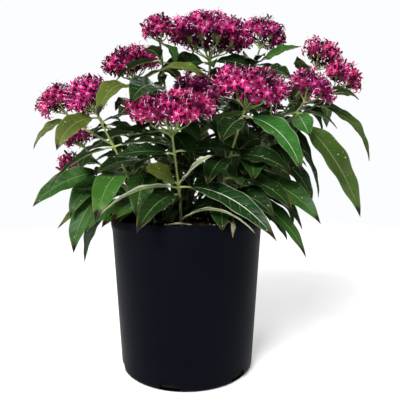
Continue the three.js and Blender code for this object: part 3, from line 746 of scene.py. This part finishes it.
def inner_leaves(number, part, shift, room):
    """Smaller leaves in crosswise pairs that fill the inside of the plant, where there is room."""
    spine, top = part["spine"], part["head"][2]
    grown = []
    levels = np.arange(spine[0][2] + INNER.first + shift, top - INNER.below_head, INNER.step)
    for i, level in enumerate(levels):
        start, is_upper = on_spine(spine, level)[0], level > top - INNER.upper
        for k in (0, 1):
            seed = SEED.inner + SEED.stem * number + 2 * i + k
            heading = math.pi / 2 * (i + 2 * k) + number
            for attempt in range(INNER.tries):
                leaf = leaf_by_rule(INNER, start, heading, is_upper, seed, attempt)
                points = room.points(leaf)
                if room.fits(points):
                    room.take(points)
                    grown.append((leaf, seed, INNER))
                    break
    return grown


def all_leaves(plants):
    """Every leaf by its stem: the solids' own, the extra ones, and small ones where there is room."""
    leaves = {name: grown_leaves(name, number, parts) for number, (name, parts) in enumerate(plants.items())}
    for seed, (name, leaf) in enumerate(EXTRA_LEAVES, SEED.extra):
        leaves[name].append((leaf_to_tip(plants[name][0]["spine"], leaf, seed), seed, LEAF))
    room = Room([part["head"] for parts in plants.values() for part in parts])
    for leaf, *_ in sum(leaves.values(), []):
        room.take(room.points(leaf))
    for turn in (0, 1):
        for number, (name, parts) in enumerate(plants.items()):
            for p, part in enumerate(() if name in LIT_STEMS else parts):
                key = number + 20 * p + 40 * turn
                leaves[name] += inner_leaves(key, part, turn * INNER.step / 2, room)
    return leaves


def make_plant(name, parts, leaves, materials):
    """A stem with its branches and leaves."""
    shape = Shape()
    # Painted light and shade: stems in open view and their leaf stalks are painted lighter, the others
    # darker.
    lightness = 1 if name in LIT_STEMS else SHADED_STEM_LIGHTNESS
    for p, part in enumerate(parts):
        levels = {leaf[0] for leaf in part.get("leaves", [])} | set(part.get("pairs", []))
        levels |= {branch["at"] for branch in part.get("branches", [])}
        radii = (STEM.top if p else STEM.foot, STEM.top)
        add_stem(shape, part["spine"], radii, p == 0, sorted(levels), lightness)
    for leaf in leaves:
        add_leaf(shape, *leaf, lightness)
    made = shape.piece("foliage_" + name, materials, sharp=75)
    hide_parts("stem_" + name)


# ---- heads

PETAL, TUBE, EYE, GREEN, STYLE = range(5)
# The grid of a petal: shares of its length, its half width there, and the places across it.
PETAL_ROWS = np.array([0, 0.36, 0.72])[:, None, None]
PETAL_HALF = np.array([0.5, 1.0, 0.7])[:, None, None]
PETAL_ACROSS = np.array([-1.0, 0.0, 1.0])[:, None]
EYE_CORNERS = 10
EYE_FACES = [(i, (i + 1) % EYE_CORNERS, EYE_CORNERS) for i in range(EYE_CORNERS)]


def dome_places(head, spacing, depth):
    """Points spread evenly over a dome, each with the dome's normal there and its angle from the top."""
    radius, height = head[3] - depth, head[4] - depth * FLORET.flatter
    stretch = head[5] if len(head) > 5 else 1
    wide, deep = radius * stretch, radius / stretch
    axis = head_axis(head)
    side, up = square_to(axis)
    edges = np.linspace(0, math.radians(HEAD.lowest), HEAD.bands + 1)
    out, rise = radius * full(np.sin(edges)), height * full(np.cos(edges))
    bands = np.pi * (out[1:] + out[:-1]) * np.hypot(np.diff(out), np.diff(rise))
    area = np.concatenate([[0], np.cumsum(bands)])
    count = max(6, round(area[-1] / spacing**2))
    steep = 2 - HEAD.fullness
    places = []
    for i in range(count):
        angle = float(np.interp((i + 0.5) * area[-1] / count, area, edges))
        turn, sine, cosine = i * GOLDEN_ANGLE, math.sin(angle), math.cos(angle)
        tall = height if angle < math.pi / 2 else height * HEAD.sag
        level = towards(side * wide, up * deep, turn)
        place = np.array(head[:3]) + level * full(sine) + axis * tall * full(cosine)
        outward = towards(side / wide, up / deep, turn)
        normal = unit(outward * full(sine, steep) + axis * full(cosine, steep) / tall)
        places.append((place, normal, angle))
    return places


def cluster_at(place, centres, number):
    """How far a floret sinks there, and the way to it from the middle of its cluster."""
    away = np.linalg.norm(centres - place, axis=1)
    first, second = np.argsort(away)[:2]
    edge = max(0.0, 1 - (away[second] - away[first]) / FLORET.groove_width)
    proud = swing(FLORET.proud, number, int(first), 72) * (1 - edge)
    return FLORET.groove * edge**1.5 - proud, place - centres[first]


def add_star(shape, centre, normal, seed, tone):
    """A floret's five pointed petals round its throat, with its pale eye and style."""
    side, up = square_to(normal)
    spin = 2 * math.pi * draw(seed, 68)
    throat, t = FLORET.throat, PETAL_ROWS
    reflex, opening = mix(FLORET.reflex, draw(seed, 1)), mix(FLORET.opening, draw(seed, 2))
    for k in range(5):
        turn = spin + 2 * math.pi * k / 5 + swing(PETAL_SWING.turn, seed, k, 3)
        length = mix(FLORET.petal, draw(seed, 4)) * (1 + swing(PETAL_SWING.length, seed, k, 5))
        ahead = towards(side, up, turn)
        across = towards(np.cross(normal, ahead), normal, swing(PETAL_SWING.twist, seed, k, 6))
        curl = reflex + swing(PETAL_SWING.curl, seed, k, 7)
        half = FLORET.half_width * (1 + swing(PETAL_SWING.width, seed, k, 8)) * PETAL_HALF
        rise = length * (opening * t - curl * t**2) + np.abs(PETAL_ACROSS) * half * FLORET.cup
        middle = centre + ahead * (throat + length * t) + across * (PETAL_ACROSS * half) + normal * rise
        tip = centre + ahead * (throat + length) + normal * length * (opening - curl)
        u, row = PETAL_ACROSS[:, 0], PETAL_ROWS[..., 0]
        add_blade(shape, middle, tip, FLORET.thick, (PETAL, PETAL), u, row, tone)

    turns = spin + 2 * np.pi * np.arange(EYE_CORNERS)[:, None] / EYE_CORNERS
    ring = centre + throat * FLORET.eye * towards(side, up, turns) + normal * 0.12
    shape.add([*ring, centre - normal * 0.5], EYE_FACES, EYE, tone=tone)
    reach = mix(FLORET.style, draw(seed, 9) ** 2)
    style = [centre - normal * 0.4, centre + normal * reach * 0.6, centre + (normal + side * 0.15) * reach]
    add_tube(shape, style, FLORET.style_radii, 3, STYLE, tone)


def add_bud(shape, base, way, seed, tone):
    """A closed bud at the end of its tube."""
    length = mix(BUD.length, draw(seed, 1))
    path = base + way * (length * np.array(BUD.at))[:, None]
    add_tube(shape, path, BUD.radii, 6, PETAL, (tone[0] * BUD.dark, tone[1]))


def add_stalk(shape, root, root_way, centre, normal, seed, tone):
    """A floret's green stalk with its calyx, and the corolla tube that widens to the throat."""
    reach = np.linalg.norm(centre - root)
    curve = cubic(root, root + root_way * reach * 0.35, centre - normal * reach * 0.45, centre, 6)
    calyx, tube = (0.32, 0.3, 0.7), (0.42, 0.42, 0.45, 0.55, FLORET.throat * 1.05)
    split = len(calyx) - 1
    add_tube(shape, curve[: split + 1], calyx, 3, GREEN, (0.5, 0.5))
    add_tube(shape, curve[split:], tube, 4, TUBE, tone, twist=draw(seed, 21))


def add_fan(shape, spine, head):
    """The pale arms that spread from the top of the stem; gives their ends and ways."""
    radius, axis, seat = head[3], head_axis(head), seat_of(head)
    side, up = square_to(axis)
    outer, (share, rise) = max(4, round(radius / FAN.spacing)), FAN.inner
    rings = ((outer, *FAN.outer), (max(1, outer // 3), share, rise * head[4]))
    ends = []
    for count, share, level in rings:
        for i in range(count):
            turn = 2 * math.pi * (i + 0.3 + swing(0.2, i, round(radius), 51)) / count
            out = towards(side, up, turn)
            lower = HEAD.node_share * radius * mix(FAN.nodes, draw(i, round(radius), 52))
            start, way = on_spine(spine, seat[2] - lower)
            end = seat + out * share * radius + axis * level
            reach = np.linalg.norm(end - start)
            pull, last_pull = way * 0.25 + out * 0.1, unit(out * share + axis * 0.7) * 0.3
            curve = cubic(start, start + pull * reach, end - last_pull * reach, end, 6)
            add_tube(shape, curve, np.linspace(*FAN.radii, 7), 6, GREEN, (0.6, 0.4))
            ends.append((end, unit(out * share + axis)))
    return ends


def make_bloom(name, number, part, materials):
    """The florets and buds of a head, in layers and clusters over its fan of arms."""
    shape, head = Shape(), part["head"]
    ends = add_fan(shape, part["spine"], head)
    axis, cool = head_axis(head), draw(number, 71)
    clusters = np.array([place for place, _, _ in dome_places(head, FLORET.cluster, 2)])
    for layer, (spacing, depth, light) in enumerate(FLORET.layers):
        if depth > 0.5 * head[4]:
            continue
        for i, (place, normal, angle) in enumerate(dome_places(head, spacing, depth)):
            seed = SEED.head * number + SEED.layer * layer + i
            if angle > math.radians(FLORET.ragged_from) and draw(seed, 70) < FLORET.ragged:
                continue
            tilt = np.array([swing(1, seed, key) for key in (61, 62, 63)])
            sunk, splay = cluster_at(place, clusters, number)
            facing = normal * FLORET.outward + axis * FLORET.upward
            facing = unit(facing + splay * FLORET.splay + tilt * FLORET.tilt)
            centre = place + normal * (swing(FLORET.drift, seed, 64) - sunk) + tilt * FLORET.aside
            root, way = min(ends, key=lambda end: np.linalg.norm(end[0] - centre))
            # Painted light and shade: florets are painted lighter down the dome and darker in deeper layers
            # and in grooves, besides a random swing.
            lightness = light + FLORET.lower * (angle - 1) + swing(FLORET.light_swing, seed, 65)
            lightness = np.clip(lightness - FLORET.sunk_dark * sunk, 0, 1)
            tone = (lightness, 0.6 * draw(seed, 66) + 0.4 * cool)
            add_stalk(shape, root, way, centre, facing, seed, tone)
            add_flower = add_bud if draw(seed, 67) < FLORET.buds else add_star
            add_flower(shape, centre, facing, seed, tone)
    made = shape.piece("bloom_" + name, materials, sharp=75)
    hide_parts("flowers_" + name)


# ---- materials


def srgb(*screen):
    """A colour given as 0 to 255 on screen, in the linear numbers that shaders take."""
    v = np.array(screen) / 255
    linear = np.where(v <= 0.04045, v / 12.92, ((v + 0.055) / 1.055) ** 2.4)
    return (*linear.tolist(), 1.0)


class Paint:
    """Builds one material's nodes round its Principled shader."""

    def __init__(self, name, **values):
        self.material = bpy.data.materials.new(name)
        self.material.use_nodes = True
        self.tree = self.material.node_tree
        self.shader = self.tree.nodes["Principled BSDF"]
        for key, value in values.items():
            self.shader.inputs[key.replace("_", " ")].default_value = value
        self.place = self.add("TexCoord", output="Object")

    def add(self, kind, inputs=None, output=0, **settings):
        """A node, with inputs by name or number; gives one of its outputs."""
        node = self.tree.nodes.new("ShaderNode" + kind)
        for key, value in settings.items():
            setattr(node, key, value)
        for key, value in (inputs or {}).items():
            if isinstance(value, bpy.types.NodeSocket):
                self.tree.links.new(value, node.inputs[key])
            else:
                node.inputs[key].default_value = value
        return node.outputs[output]

    def math(self, operation, *values):
        return self.add("Math", dict(enumerate(values)), operation=operation)

    def times(self, a, b):
        return self.math("MULTIPLY", a, b)

    def times_plus(self, a, b, c):
        return self.math("MULTIPLY_ADD", a, b, c)

    def from_middle(self, value):
        """0 halfway between 0 and 1, and 1 at both of them."""
        return self.math("ABSOLUTE", self.math("SUBTRACT", self.times(value, 2.0), 1.0))

    def fade(self, value, low, high):
        """0 at low and 1 at high, smoothly."""
        return self.add("MapRange", {0: value, 1: low, 2: high}, interpolation_type="SMOOTHSTEP")

    def mix(self, share, a, b):
        return self.add("Mix", {0: share, 6: a, 7: b}, output=2, data_type="RGBA")

    def over(self, base, colour, mask, amount):
        """A colour laid over another, as far as a mask and an amount say."""
        return self.mix(self.times(mask, amount), base, colour)

    def noise(self, scale, detail=3.0):
        return self.add("TexNoise", {"Vector": self.place, "Scale": scale, "Detail": detail}, output="Fac")

    def cells(self, scale, output="Distance"):
        return self.add("TexVoronoi", {"Vector": self.place, "Scale": scale}, output=output)

    def height(self):
        """The level above the ground, in metres."""
        return self.add("SeparateXYZ", {0: self.place}, output=2)

    def map(self, name):
        """The two numbers of a UV map."""
        split = self.add("SeparateXYZ", {0: self.add("UVMap", uv_map=name)}).node
        return split.outputs[0], split.outputs[1]

    def set(self, name, value):
        self.tree.links.new(value, self.shader.inputs[name])

    def bump(self, height, distance, strength=0.5):
        self.set("Normal", self.add("Bump", {"Height": height, "Distance": distance, "Strength": strength}))


def leaf_paint(name, is_top):
    """Green between light veins, with a few specks and withered tips, and painted highlights: a sheen,
    lighter bulges between the side veins, a pale margin and whitish glare on the palest leaves; the
    underside is paler and duller.
    """
    paint = Paint(name, Roughness=0.42 if is_top else 0.65, Specular_IOR_Level=0.12 if is_top else 0.05)
    across, row = paint.map("pattern")
    light, yellow = paint.map("tone")
    out = paint.from_middle(across)
    near_vein = paint.from_middle(paint.math("FRACT", paint.times(row, float(LEAF.veins))))
    side_vein = paint.times(paint.fade(near_vein, 0.8, 1.0), paint.fade(out, 1.0, 0.4))
    vein = paint.math("MAXIMUM", paint.fade(out, 0.055, 0.015), paint.times(side_vein, 0.1))
    deep, bright = (srgb(3, 13, 4), srgb(44, 100, 34)) if is_top else (srgb(40, 62, 36), srgb(80, 108, 58))
    olive = srgb(78, 88, 32) if is_top else srgb(106, 112, 58)
    rib = srgb(160, 180, 122) if is_top else srgb(150, 164, 112)
    blade = paint.mix(paint.fade(yellow, 0.0, 0.9), paint.mix(light, deep, bright), olive)
    # Leaves of the palest tone are painted whitish, lightest at their edges: a painted highlight on leaves
    # seen edge-on.
    pale_highlight = paint.mix(paint.fade(out, 0.35, 0.95), srgb(134, 146, 108), srgb(214, 218, 194))
    blade = paint.mix(paint.fade(yellow, 0.9, 1.0), blade, pale_highlight)
    blade = paint.over(blade, bright, paint.fade(paint.noise(38.0, 4.0), 0.3, 0.75), 0.1)
    # Painted sheen: pale green patches, stronger on lighter leaves.
    painted_sheen = paint.times(paint.fade(paint.noise(30.0), 0.5, 0.75), light)
    blade = paint.over(blade, srgb(112, 148, 90), painted_sheen, 0.4)
    # Painted highlight on the bulges between the side veins.
    blade = paint.over(blade, bright, paint.fade(near_vein, 0.7, 0.1), 0.1)
    blade = paint.over(blade, deep, paint.fade(paint.noise(24.0), 0.45, 0.7), 0.4)
    blade = paint.over(blade, srgb(196, 200, 150), paint.fade(paint.noise(420.0, 1.0), 0.73, 0.76), 0.6)
    ribbed = paint.fade(yellow, 0.08, 0.02)
    rib = paint.mix(ribbed, rib, srgb(216, 222, 200))
    # A pale margin: a painted highlight along the leaf's edge.
    blade = paint.over(blade, rib, paint.fade(out, 0.9, 1.0), paint.times_plus(ribbed, 0.2, 0.15))
    blade = paint.over(blade, rib, vein, paint.times_plus(ribbed, 0.5, 0.3))
    ragged = paint.times_plus(paint.noise(22.0, 2.0), 0.34, row)
    dry_edge = paint.times(paint.fade(out, 0.55, 0.95), paint.fade(ragged, 0.82, 1.0))
    blade = paint.over(blade, srgb(92, 84, 40), dry_edge, 0.6)
    paint.set("Base Color", paint.mix(paint.fade(ragged, 1.01, 1.09), blade, srgb(26, 20, 13)))
    raised = 1 if is_top else -1  # veins are sunk on top and stand out underneath
    net = paint.times(paint.cells(620.0), 0.2 * raised)
    paint.bump(paint.times_plus(vein, -0.8 * raised, net), 0.0004, 0.7)
    return paint.material


def stalk_paint(name, pale, dark, roughness):
    """Streaks over a green that is as light as the stem's tone says: painted light on stems in open view,
    painted shade on the others.
    """
    paint = Paint(name, Roughness=roughness)
    light, _ = paint.map("tone")
    streaks = paint.fade(paint.noise(90.0, 4.0), 0.35, 0.7)
    paint.set("Base Color", paint.over(paint.mix(light, dark, pale), dark, streaks, 0.6))
    paint.bump(paint.noise(700.0, 2.0), 0.0002)
    return paint.material


def petal_paint():
    """Crimson magenta, darker or lighter as each floret's tone says, which holds painted shade and light as
    well as chance; with a pale ring at the throat and pink edges that are a painted highlight.
    """
    paint = Paint("petal", Roughness=0.6, Specular_IOR_Level=0.03)
    across, along = paint.map("pattern")
    light, hue = paint.map("tone")
    dark = paint.mix(hue, srgb(70, 0, 32), srgb(46, 0, 40))
    bright = paint.mix(hue, srgb(192, 6, 84), srgb(172, 8, 108))
    pink = srgb(250, 150, 208)
    # Pink edges, stronger on lighter florets, are a painted highlight; the dark to bright mix follows the
    # painted shade and light of the tone.
    rim = paint.fade(paint.from_middle(across), 0.55, 1.0)
    colour = paint.over(paint.mix(light, dark, bright), pink, rim, paint.times_plus(light, 0.24, 0.05))
    colour = paint.over(colour, dark, paint.fade(paint.noise(1500.0, 2.0), 0.5, 0.8), 0.25)
    # The pale ring is the throat's own colour; it is painted fainter on florets that are painted as shaded.
    ring = paint.fade(along, 0.24, 0.02)
    paint.set("Base Color", paint.over(colour, pink, ring, paint.times(light, 0.45)))
    paint.bump(paint.noise(1800.0, 2.0), 0.0002)
    return paint.material


def plain_paint(name, base, other, roughness, scale):
    """A colour that drifts towards another one."""
    paint = Paint(name, Roughness=roughness)
    paint.set("Base Color", paint.mix(paint.fade(paint.noise(scale), 0.35, 0.7), base, other))
    paint.bump(paint.noise(scale * 6), 0.0002)
    return paint.material


def pot_paint():
    """Black moulded plastic with a faint grain, and a little dust that clings low and at the lip."""
    paint = Paint("pot_plastic", IOR=1.2, Specular_IOR_Level=0.1)
    low, high = paint.fade(paint.height(), 0.03, 0.0), paint.fade(paint.height(), 0.15, 0.163)
    drift = paint.fade(paint.noise(14.0, 5.0), 0.4, 0.8)
    specks = paint.fade(paint.noise(420.0), 0.56, 0.72)
    clinging = paint.times(paint.times_plus(low, 0.5, high), specks)
    dust = paint.times_plus(clinging, 0.12, paint.times(drift, 0.02))
    paint.set("Base Color", paint.mix(dust, srgb(7, 9, 16), srgb(50, 52, 60)))
    paint.set("Roughness", paint.add("MapRange", {0: drift, 3: 0.4, 4: 0.5}))
    paint.bump(paint.cells(1100.0), 0.0001, 0.35)
    return paint.material


def soil_paint(name, dark, light, roughness=0.95):
    """Grains of two browns, darker in clods, and painted black low down as shade inside the pot, where the
    slots show it.
    """
    paint = Paint(name, Roughness=roughness, Specular_IOR_Level=0.2)
    grains = paint.add("SeparateColor", {0: paint.cells(320.0, "Color")})
    clods = paint.fade(paint.noise(60.0, 5.0), 0.35, 0.7)
    colour = paint.mix(paint.times(grains, clods), dark, light)
    # Painted shade: the soil turns black low down, so that it looks dark through the slots.
    paint.set("Base Color", paint.mix(paint.fade(paint.height(), 0.1, 0.02), colour, srgb(4, 4, 4)))
    paint.bump(paint.noise(500.0, 6.0), 0.0008, 0.9)
    return paint.material


# ---- pot and soil


def arc(centre, radius, start, end, steps):
    """Points of an arc in the plane of radius and height, by angles in degrees."""
    turns = np.radians(np.linspace(start, end, steps + 1))
    return [(centre[0] + radius * math.cos(a), centre[1] + radius * math.sin(a)) for a in turns]


def lathe(profile, sides):
    """Points and faces of a closed turned body; the profile starts and ends on the axis."""
    turns = 2 * np.pi * np.arange(sides) / sides
    points = [(0, 0, profile[0][1])]
    for r, z in profile[1:-1]:
        points += [(r * math.cos(a), r * math.sin(a), z) for a in turns]
    points.append((0, 0, profile[-1][1]))
    rows, end = len(profile) - 2, len(points) - 1
    faces = []
    for i in range(sides):
        j = (i + 1) % sides
        faces.append((0, 1 + j, 1 + i))
        for row in range(rows - 1):
            a, b = 1 + row * sides + i, 1 + row * sides + j
            faces.append((a, b, b + sides, a + sides))
        faces.append((1 + (rows - 1) * sides + i, 1 + (rows - 1) * sides + j, end))
    return points, faces


def slot_cutter(material):
    """A block where each drain slot goes, with its upper corners rounded."""
    half, top, corner = SLOT.width / 2, SLOT.height, SLOT.round
    outline = [
        (-half, SLOT.sill),
        (half, SLOT.sill),
        *arc((half - corner, top - corner), corner, 0, 90, 5),
        *arc((-half + corner, top - corner), corner, 90, 180, 5),
    ]
    n = len(outline)
    faces = [tuple(range(n))[::-1], tuple(range(n, 2 * n))]
    faces += [(j, (j + 1) % n, (j + 1) % n + n, j + n) for j in range(n)]
    reaches = (POT.foot - SLOT.depth, POT.rim + 5)
    cutter = Shape()
    for i in range(SLOT.count):
        ahead = towards(EAST, NORTH, math.radians(SLOT.first_turn + 360 / SLOT.count * i))
        side = np.cross(UP, ahead)
        cutter.add([ahead * reach + side * y + UP * z for reach in reaches for y, z in outline], faces)
    return cutter.piece("slot_cutter", [material])


def make_pot(material):
    """The turned pot, with its drain slots cut out."""
    height, foot, rim, corner = POT.height, POT.foot, POT.rim, POT.foot_round
    outer, inner = LIP.outer_round, LIP.inner_round
    profile = [
        (0, 0),
        (foot - 12, 0),
        *arc((foot - corner, corner), corner, -90, 0, 6),
        *[(foot + TAPER * z, z) for z in (*WALL_LEVELS, LIP_FOOT - 5)],
        *[(rim - inwards, LIP_FOOT + z) for inwards, z in LIP.under],
        *arc((rim - outer, height - outer), outer, 0, 90, 5),
        *arc((rim - POT.wall + inner, height - inner), inner, 90, 180, 3),
        (pot_inside(LIP_FOOT), LIP_FOOT - 1),
        *[(pot_inside(z), z) for z in (*WALL_LEVELS[::-1], POT.floor)],
        (0, POT.floor),
    ]
    shape = Shape()
    shape.add(*lathe(profile, POT.sides))
    pot = shape.piece("nursery_pot", [material])
    tool = slot_cutter(material)
    modifier = pot.modifiers.new("slots", "BOOLEAN")
    modifier.object, modifier.operation, modifier.solver = tool, "DIFFERENCE", "EXACT"
    bpy.context.view_layer.update()
    pot.data = bpy.data.meshes.new_from_object(pot.evaluated_get(bpy.context.evaluated_depsgraph_get()))
    pot.modifiers.clear()
    bpy.data.objects.remove(tool)
    pot.data.set_sharp_from_angle(angle=math.radians(40))
    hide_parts("pot")


# The corners and faces of an icosahedron.
ICO = (1 + math.sqrt(5)) / 2
LUMP_POINTS = np.array(
    [(-1, ICO, 0), (1, ICO, 0), (-1, -ICO, 0), (1, -ICO, 0), (0, -1, ICO), (0, 1, ICO),
     (0, -1, -ICO), (0, 1, -ICO), (ICO, 0, -1), (ICO, 0, 1), (-ICO, 0, -1), (-ICO, 0, 1)]
) / math.hypot(1, ICO)
LUMP_FACES = [
    (0, 11, 5), (0, 5, 1), (0, 1, 7), (0, 7, 10), (0, 10, 11), (1, 5, 9), (5, 11, 4), (11, 10, 2),
    (10, 7, 6), (7, 1, 8), (3, 9, 4), (3, 4, 2), (3, 2, 6), (3, 6, 8), (3, 8, 9), (4, 9, 5),
    (2, 4, 11), (6, 2, 10), (8, 6, 7), (9, 8, 1),
]


def add_dry_leaf(shape, points, half, slot):
    """A withered leaf that lies along a row of points, with its edges curled up."""
    path, along = smooth_path(np.array(points, float), 1.6, 4)
    ways = np.gradient(path, axis=0)
    side = unit(np.cross(ways, UP))
    normal = unit(np.cross(side, ways))
    share, u = (along[:-1] / along[-1])[:, None], np.linspace(-1, 1, 5)
    wide = half * np.sin(np.pi * (0.08 + 0.92 * share)) ** 0.6 * (1 + 0.18 * np.sin(19 * share))
    lift = wide * (0.6 * u**2 + 0.12 * np.sin(9 * share + 3 * u))
    middle = path[:-1, None] + (wide * u)[..., None] * side[:-1, None] + lift[..., None] * normal[:-1, None]
    add_blade(shape, middle, path[-1], 0.4, (slot, slot), u, share, (0.5, 0.5))


def make_soil(peat, bark, perlite, dry):
    """A closed body with a crumbly top, and the crumbs, bark chips and perlite that lie on it."""
    random = np.random.default_rng(7)
    gap, sides = SOIL.gap, SOIL.sides
    bottom, edge = POT.floor + gap, pot_inside(SOIL.edge) - gap
    rings = [(edge * share, 0) for share in np.linspace(1, 0.04, SOIL.rings)]
    points, faces = lathe([(0, bottom), (pot_inside(bottom) - gap, bottom), *rings, (0, 0)], sides)
    points = np.array(points, float)
    x, y = points[sides + 1 :, 0], points[sides + 1 :, 1]
    rough = np.sin(x * 0.9 + 3 * np.sin(y * 0.5)) * np.cos(y * 1.1 + 2 * np.sin(x * 0.6))
    rough = SOIL.rough * (rough - 1) + random.uniform(-SOIL.rough, SOIL.rough, len(x))
    points[sides + 1 :, 2] = soil_level(x, y) + rough
    shape = Shape()
    shape.add(points, faces)
    for count, size, stretch, slot in CRUMBS:
        for _ in range(count):
            radius = (edge - SOIL.bare_edge) * math.sqrt(random.random())
            turn = random.uniform(0, 2 * math.pi)
            place = towards(EAST, NORTH, turn) * radius
            big = random.uniform(*size) * random.uniform(0.7, 1)
            lump = LUMP_POINTS * random.uniform(0.75, 1.2, (12, 1)) * big * np.array(stretch)
            lean, spin = random.uniform(-0.5, 0.5, 2), random.uniform(0, 2 * math.pi)
            x, y = towards(EAST, -NORTH, spin)[:2], towards(NORTH, EAST, spin)[:2]
            lump = np.stack([lump[:, :2] @ x, lump[:, :2] @ y, lump[:, 2]], 1)
            lump[:, 2] += lump[:, :2] @ lean
            place[2] = soil_level(place[0], place[1]) + big * 0.15
            shape.add(lump + place, LUMP_FACES, slot)
    for path, half in DRY_LEAVES:
        add_dry_leaf(shape, path, half, 3)
    made = shape.piece("potting_mix", [peat, bark, perlite, dry], sharp=35)
    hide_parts("soil")


# ---- studio, in metres

CAMERA = Values(location=(0, -0.4494, 0.2115), down=3.854, left=1.83, lens=36.63)
FLOOR = Values(radius=1.6, solid=0.35)
WORLD = Values(lights=0.11, shows=1.0)
AIM = np.array([0, 0, 0.22])
# Each soft light's place, width and power.
LIGHTS = {
    "key": ((-0.65, -1.25, 1.35), 0.8, 51),
    "fill": ((1.35, -0.7, 0.75), 0.9, 10),
    "left": ((-1.4, 0.1, 0.7), 0.8, 8),
    "back": ((0.3, 1.4, 1.2), 0.9, 22),
}


def make_floor():
    """A pale disc that fades out into the white round about."""
    bpy.ops.mesh.primitive_circle_add(vertices=96, radius=FLOOR.radius, fill_type="NGON")
    floor = bpy.context.object
    floor.name = "floor"
    paint = Paint("floor", Roughness=0.9, Base_Color=srgb(250, 250, 250), Specular_IOR_Level=0.1)
    away = paint.add("VectorMath", {0: paint.place}, output="Value", operation="LENGTH")
    paint.set("Alpha", paint.fade(away, FLOOR.radius, FLOOR.solid))
    floor.data.materials.append(paint.material)


def make_light(name, location, size, power):
    """A soft square light that faces the middle of the plant."""
    lamp = bpy.data.lights.new(name, "AREA")
    lamp.shape, lamp.size, lamp.energy = "SQUARE", size, power
    made = bpy.data.objects.new(name, lamp)
    bpy.context.scene.collection.objects.link(made)
    made.location = location
    x, y, z = np.array(location) - AIM
    made.rotation_euler = (math.atan2(math.hypot(x, y), z), 0, math.atan2(x, -y))


def make_world():
    """A white studio that lights the plant less than it shows, so that the soft lights give it shape."""
    world = bpy.data.worlds.new("studio")
    bpy.context.scene.world = world
    world.use_nodes = True
    tree = world.node_tree
    background = tree.nodes["Background"]
    background.inputs["Color"].default_value = (0.97, 0.98, 1.0, 1)
    seen = tree.nodes.new("ShaderNodeLightPath")
    strength = tree.nodes.new("ShaderNodeMapRange")
    strength.inputs["To Min"].default_value = WORLD.lights
    strength.inputs["To Max"].default_value = WORLD.shows
    tree.links.new(seen.outputs["Is Camera Ray"], strength.inputs["Value"])
    tree.links.new(strength.outputs[0], background.inputs["Strength"])


def make_camera():
    """The camera at the photo's viewing angle."""
    camera = bpy.data.objects.new("camera", bpy.data.cameras.new("camera"))
    bpy.context.scene.collection.objects.link(camera)
    camera.location = CAMERA.location
    camera.rotation_euler = (math.radians(90 - CAMERA.down), 0, math.radians(-CAMERA.left))
    camera.data.lens, camera.data.sensor_width = CAMERA.lens, 36
    bpy.context.scene.camera = camera
    bpy.context.scene.view_settings.view_transform = "Standard"


# ---- build

plant_materials = [
    leaf_paint("leaf_top", True),
    leaf_paint("leaf_under", False),
    stalk_paint("leaf_stalk", srgb(178, 192, 130), srgb(112, 136, 72), 0.5),
    stalk_paint("stem", srgb(138, 154, 84), srgb(78, 96, 44), 0.55),
]
bloom_materials = [
    petal_paint(),
    plain_paint("corolla_tube", srgb(112, 8, 60), srgb(84, 20, 50), 0.6, 200.0),
    plain_paint("floret_eye", srgb(248, 184, 216), srgb(150, 20, 90), 0.6, 90.0),
    plain_paint("floret_stalk", srgb(150, 166, 92), srgb(84, 106, 46), 0.55, 120.0),
    plain_paint("floret_style", srgb(255, 230, 244), srgb(236, 150, 196), 0.6, 160.0),
]

make_pot(pot_paint())
make_soil(
    soil_paint("peat", srgb(15, 11, 8), srgb(50, 36, 26)),
    soil_paint("bark", srgb(32, 21, 14), srgb(86, 60, 42), 0.85),
    plain_paint("perlite", srgb(232, 230, 224), srgb(205, 200, 190), 0.8, 150.0),
    plain_paint("dry_leaf", srgb(150, 146, 118), srgb(92, 82, 58), 0.8, 140.0),
)
plants = {name: plant_parts(stem) for name, stem in STEMS.items()}
leaves = all_leaves(plants)
for number, (name, parts) in enumerate(plants.items()):
    make_plant(name, parts, leaves[name], plant_materials)
    for p, part in enumerate(parts):
        make_bloom(name + "_side" if p else name, 2 * number + p, part, bloom_materials)

make_floor()
for name, light in LIGHTS.items():
    make_light(name, *light)
make_world()
make_camera()
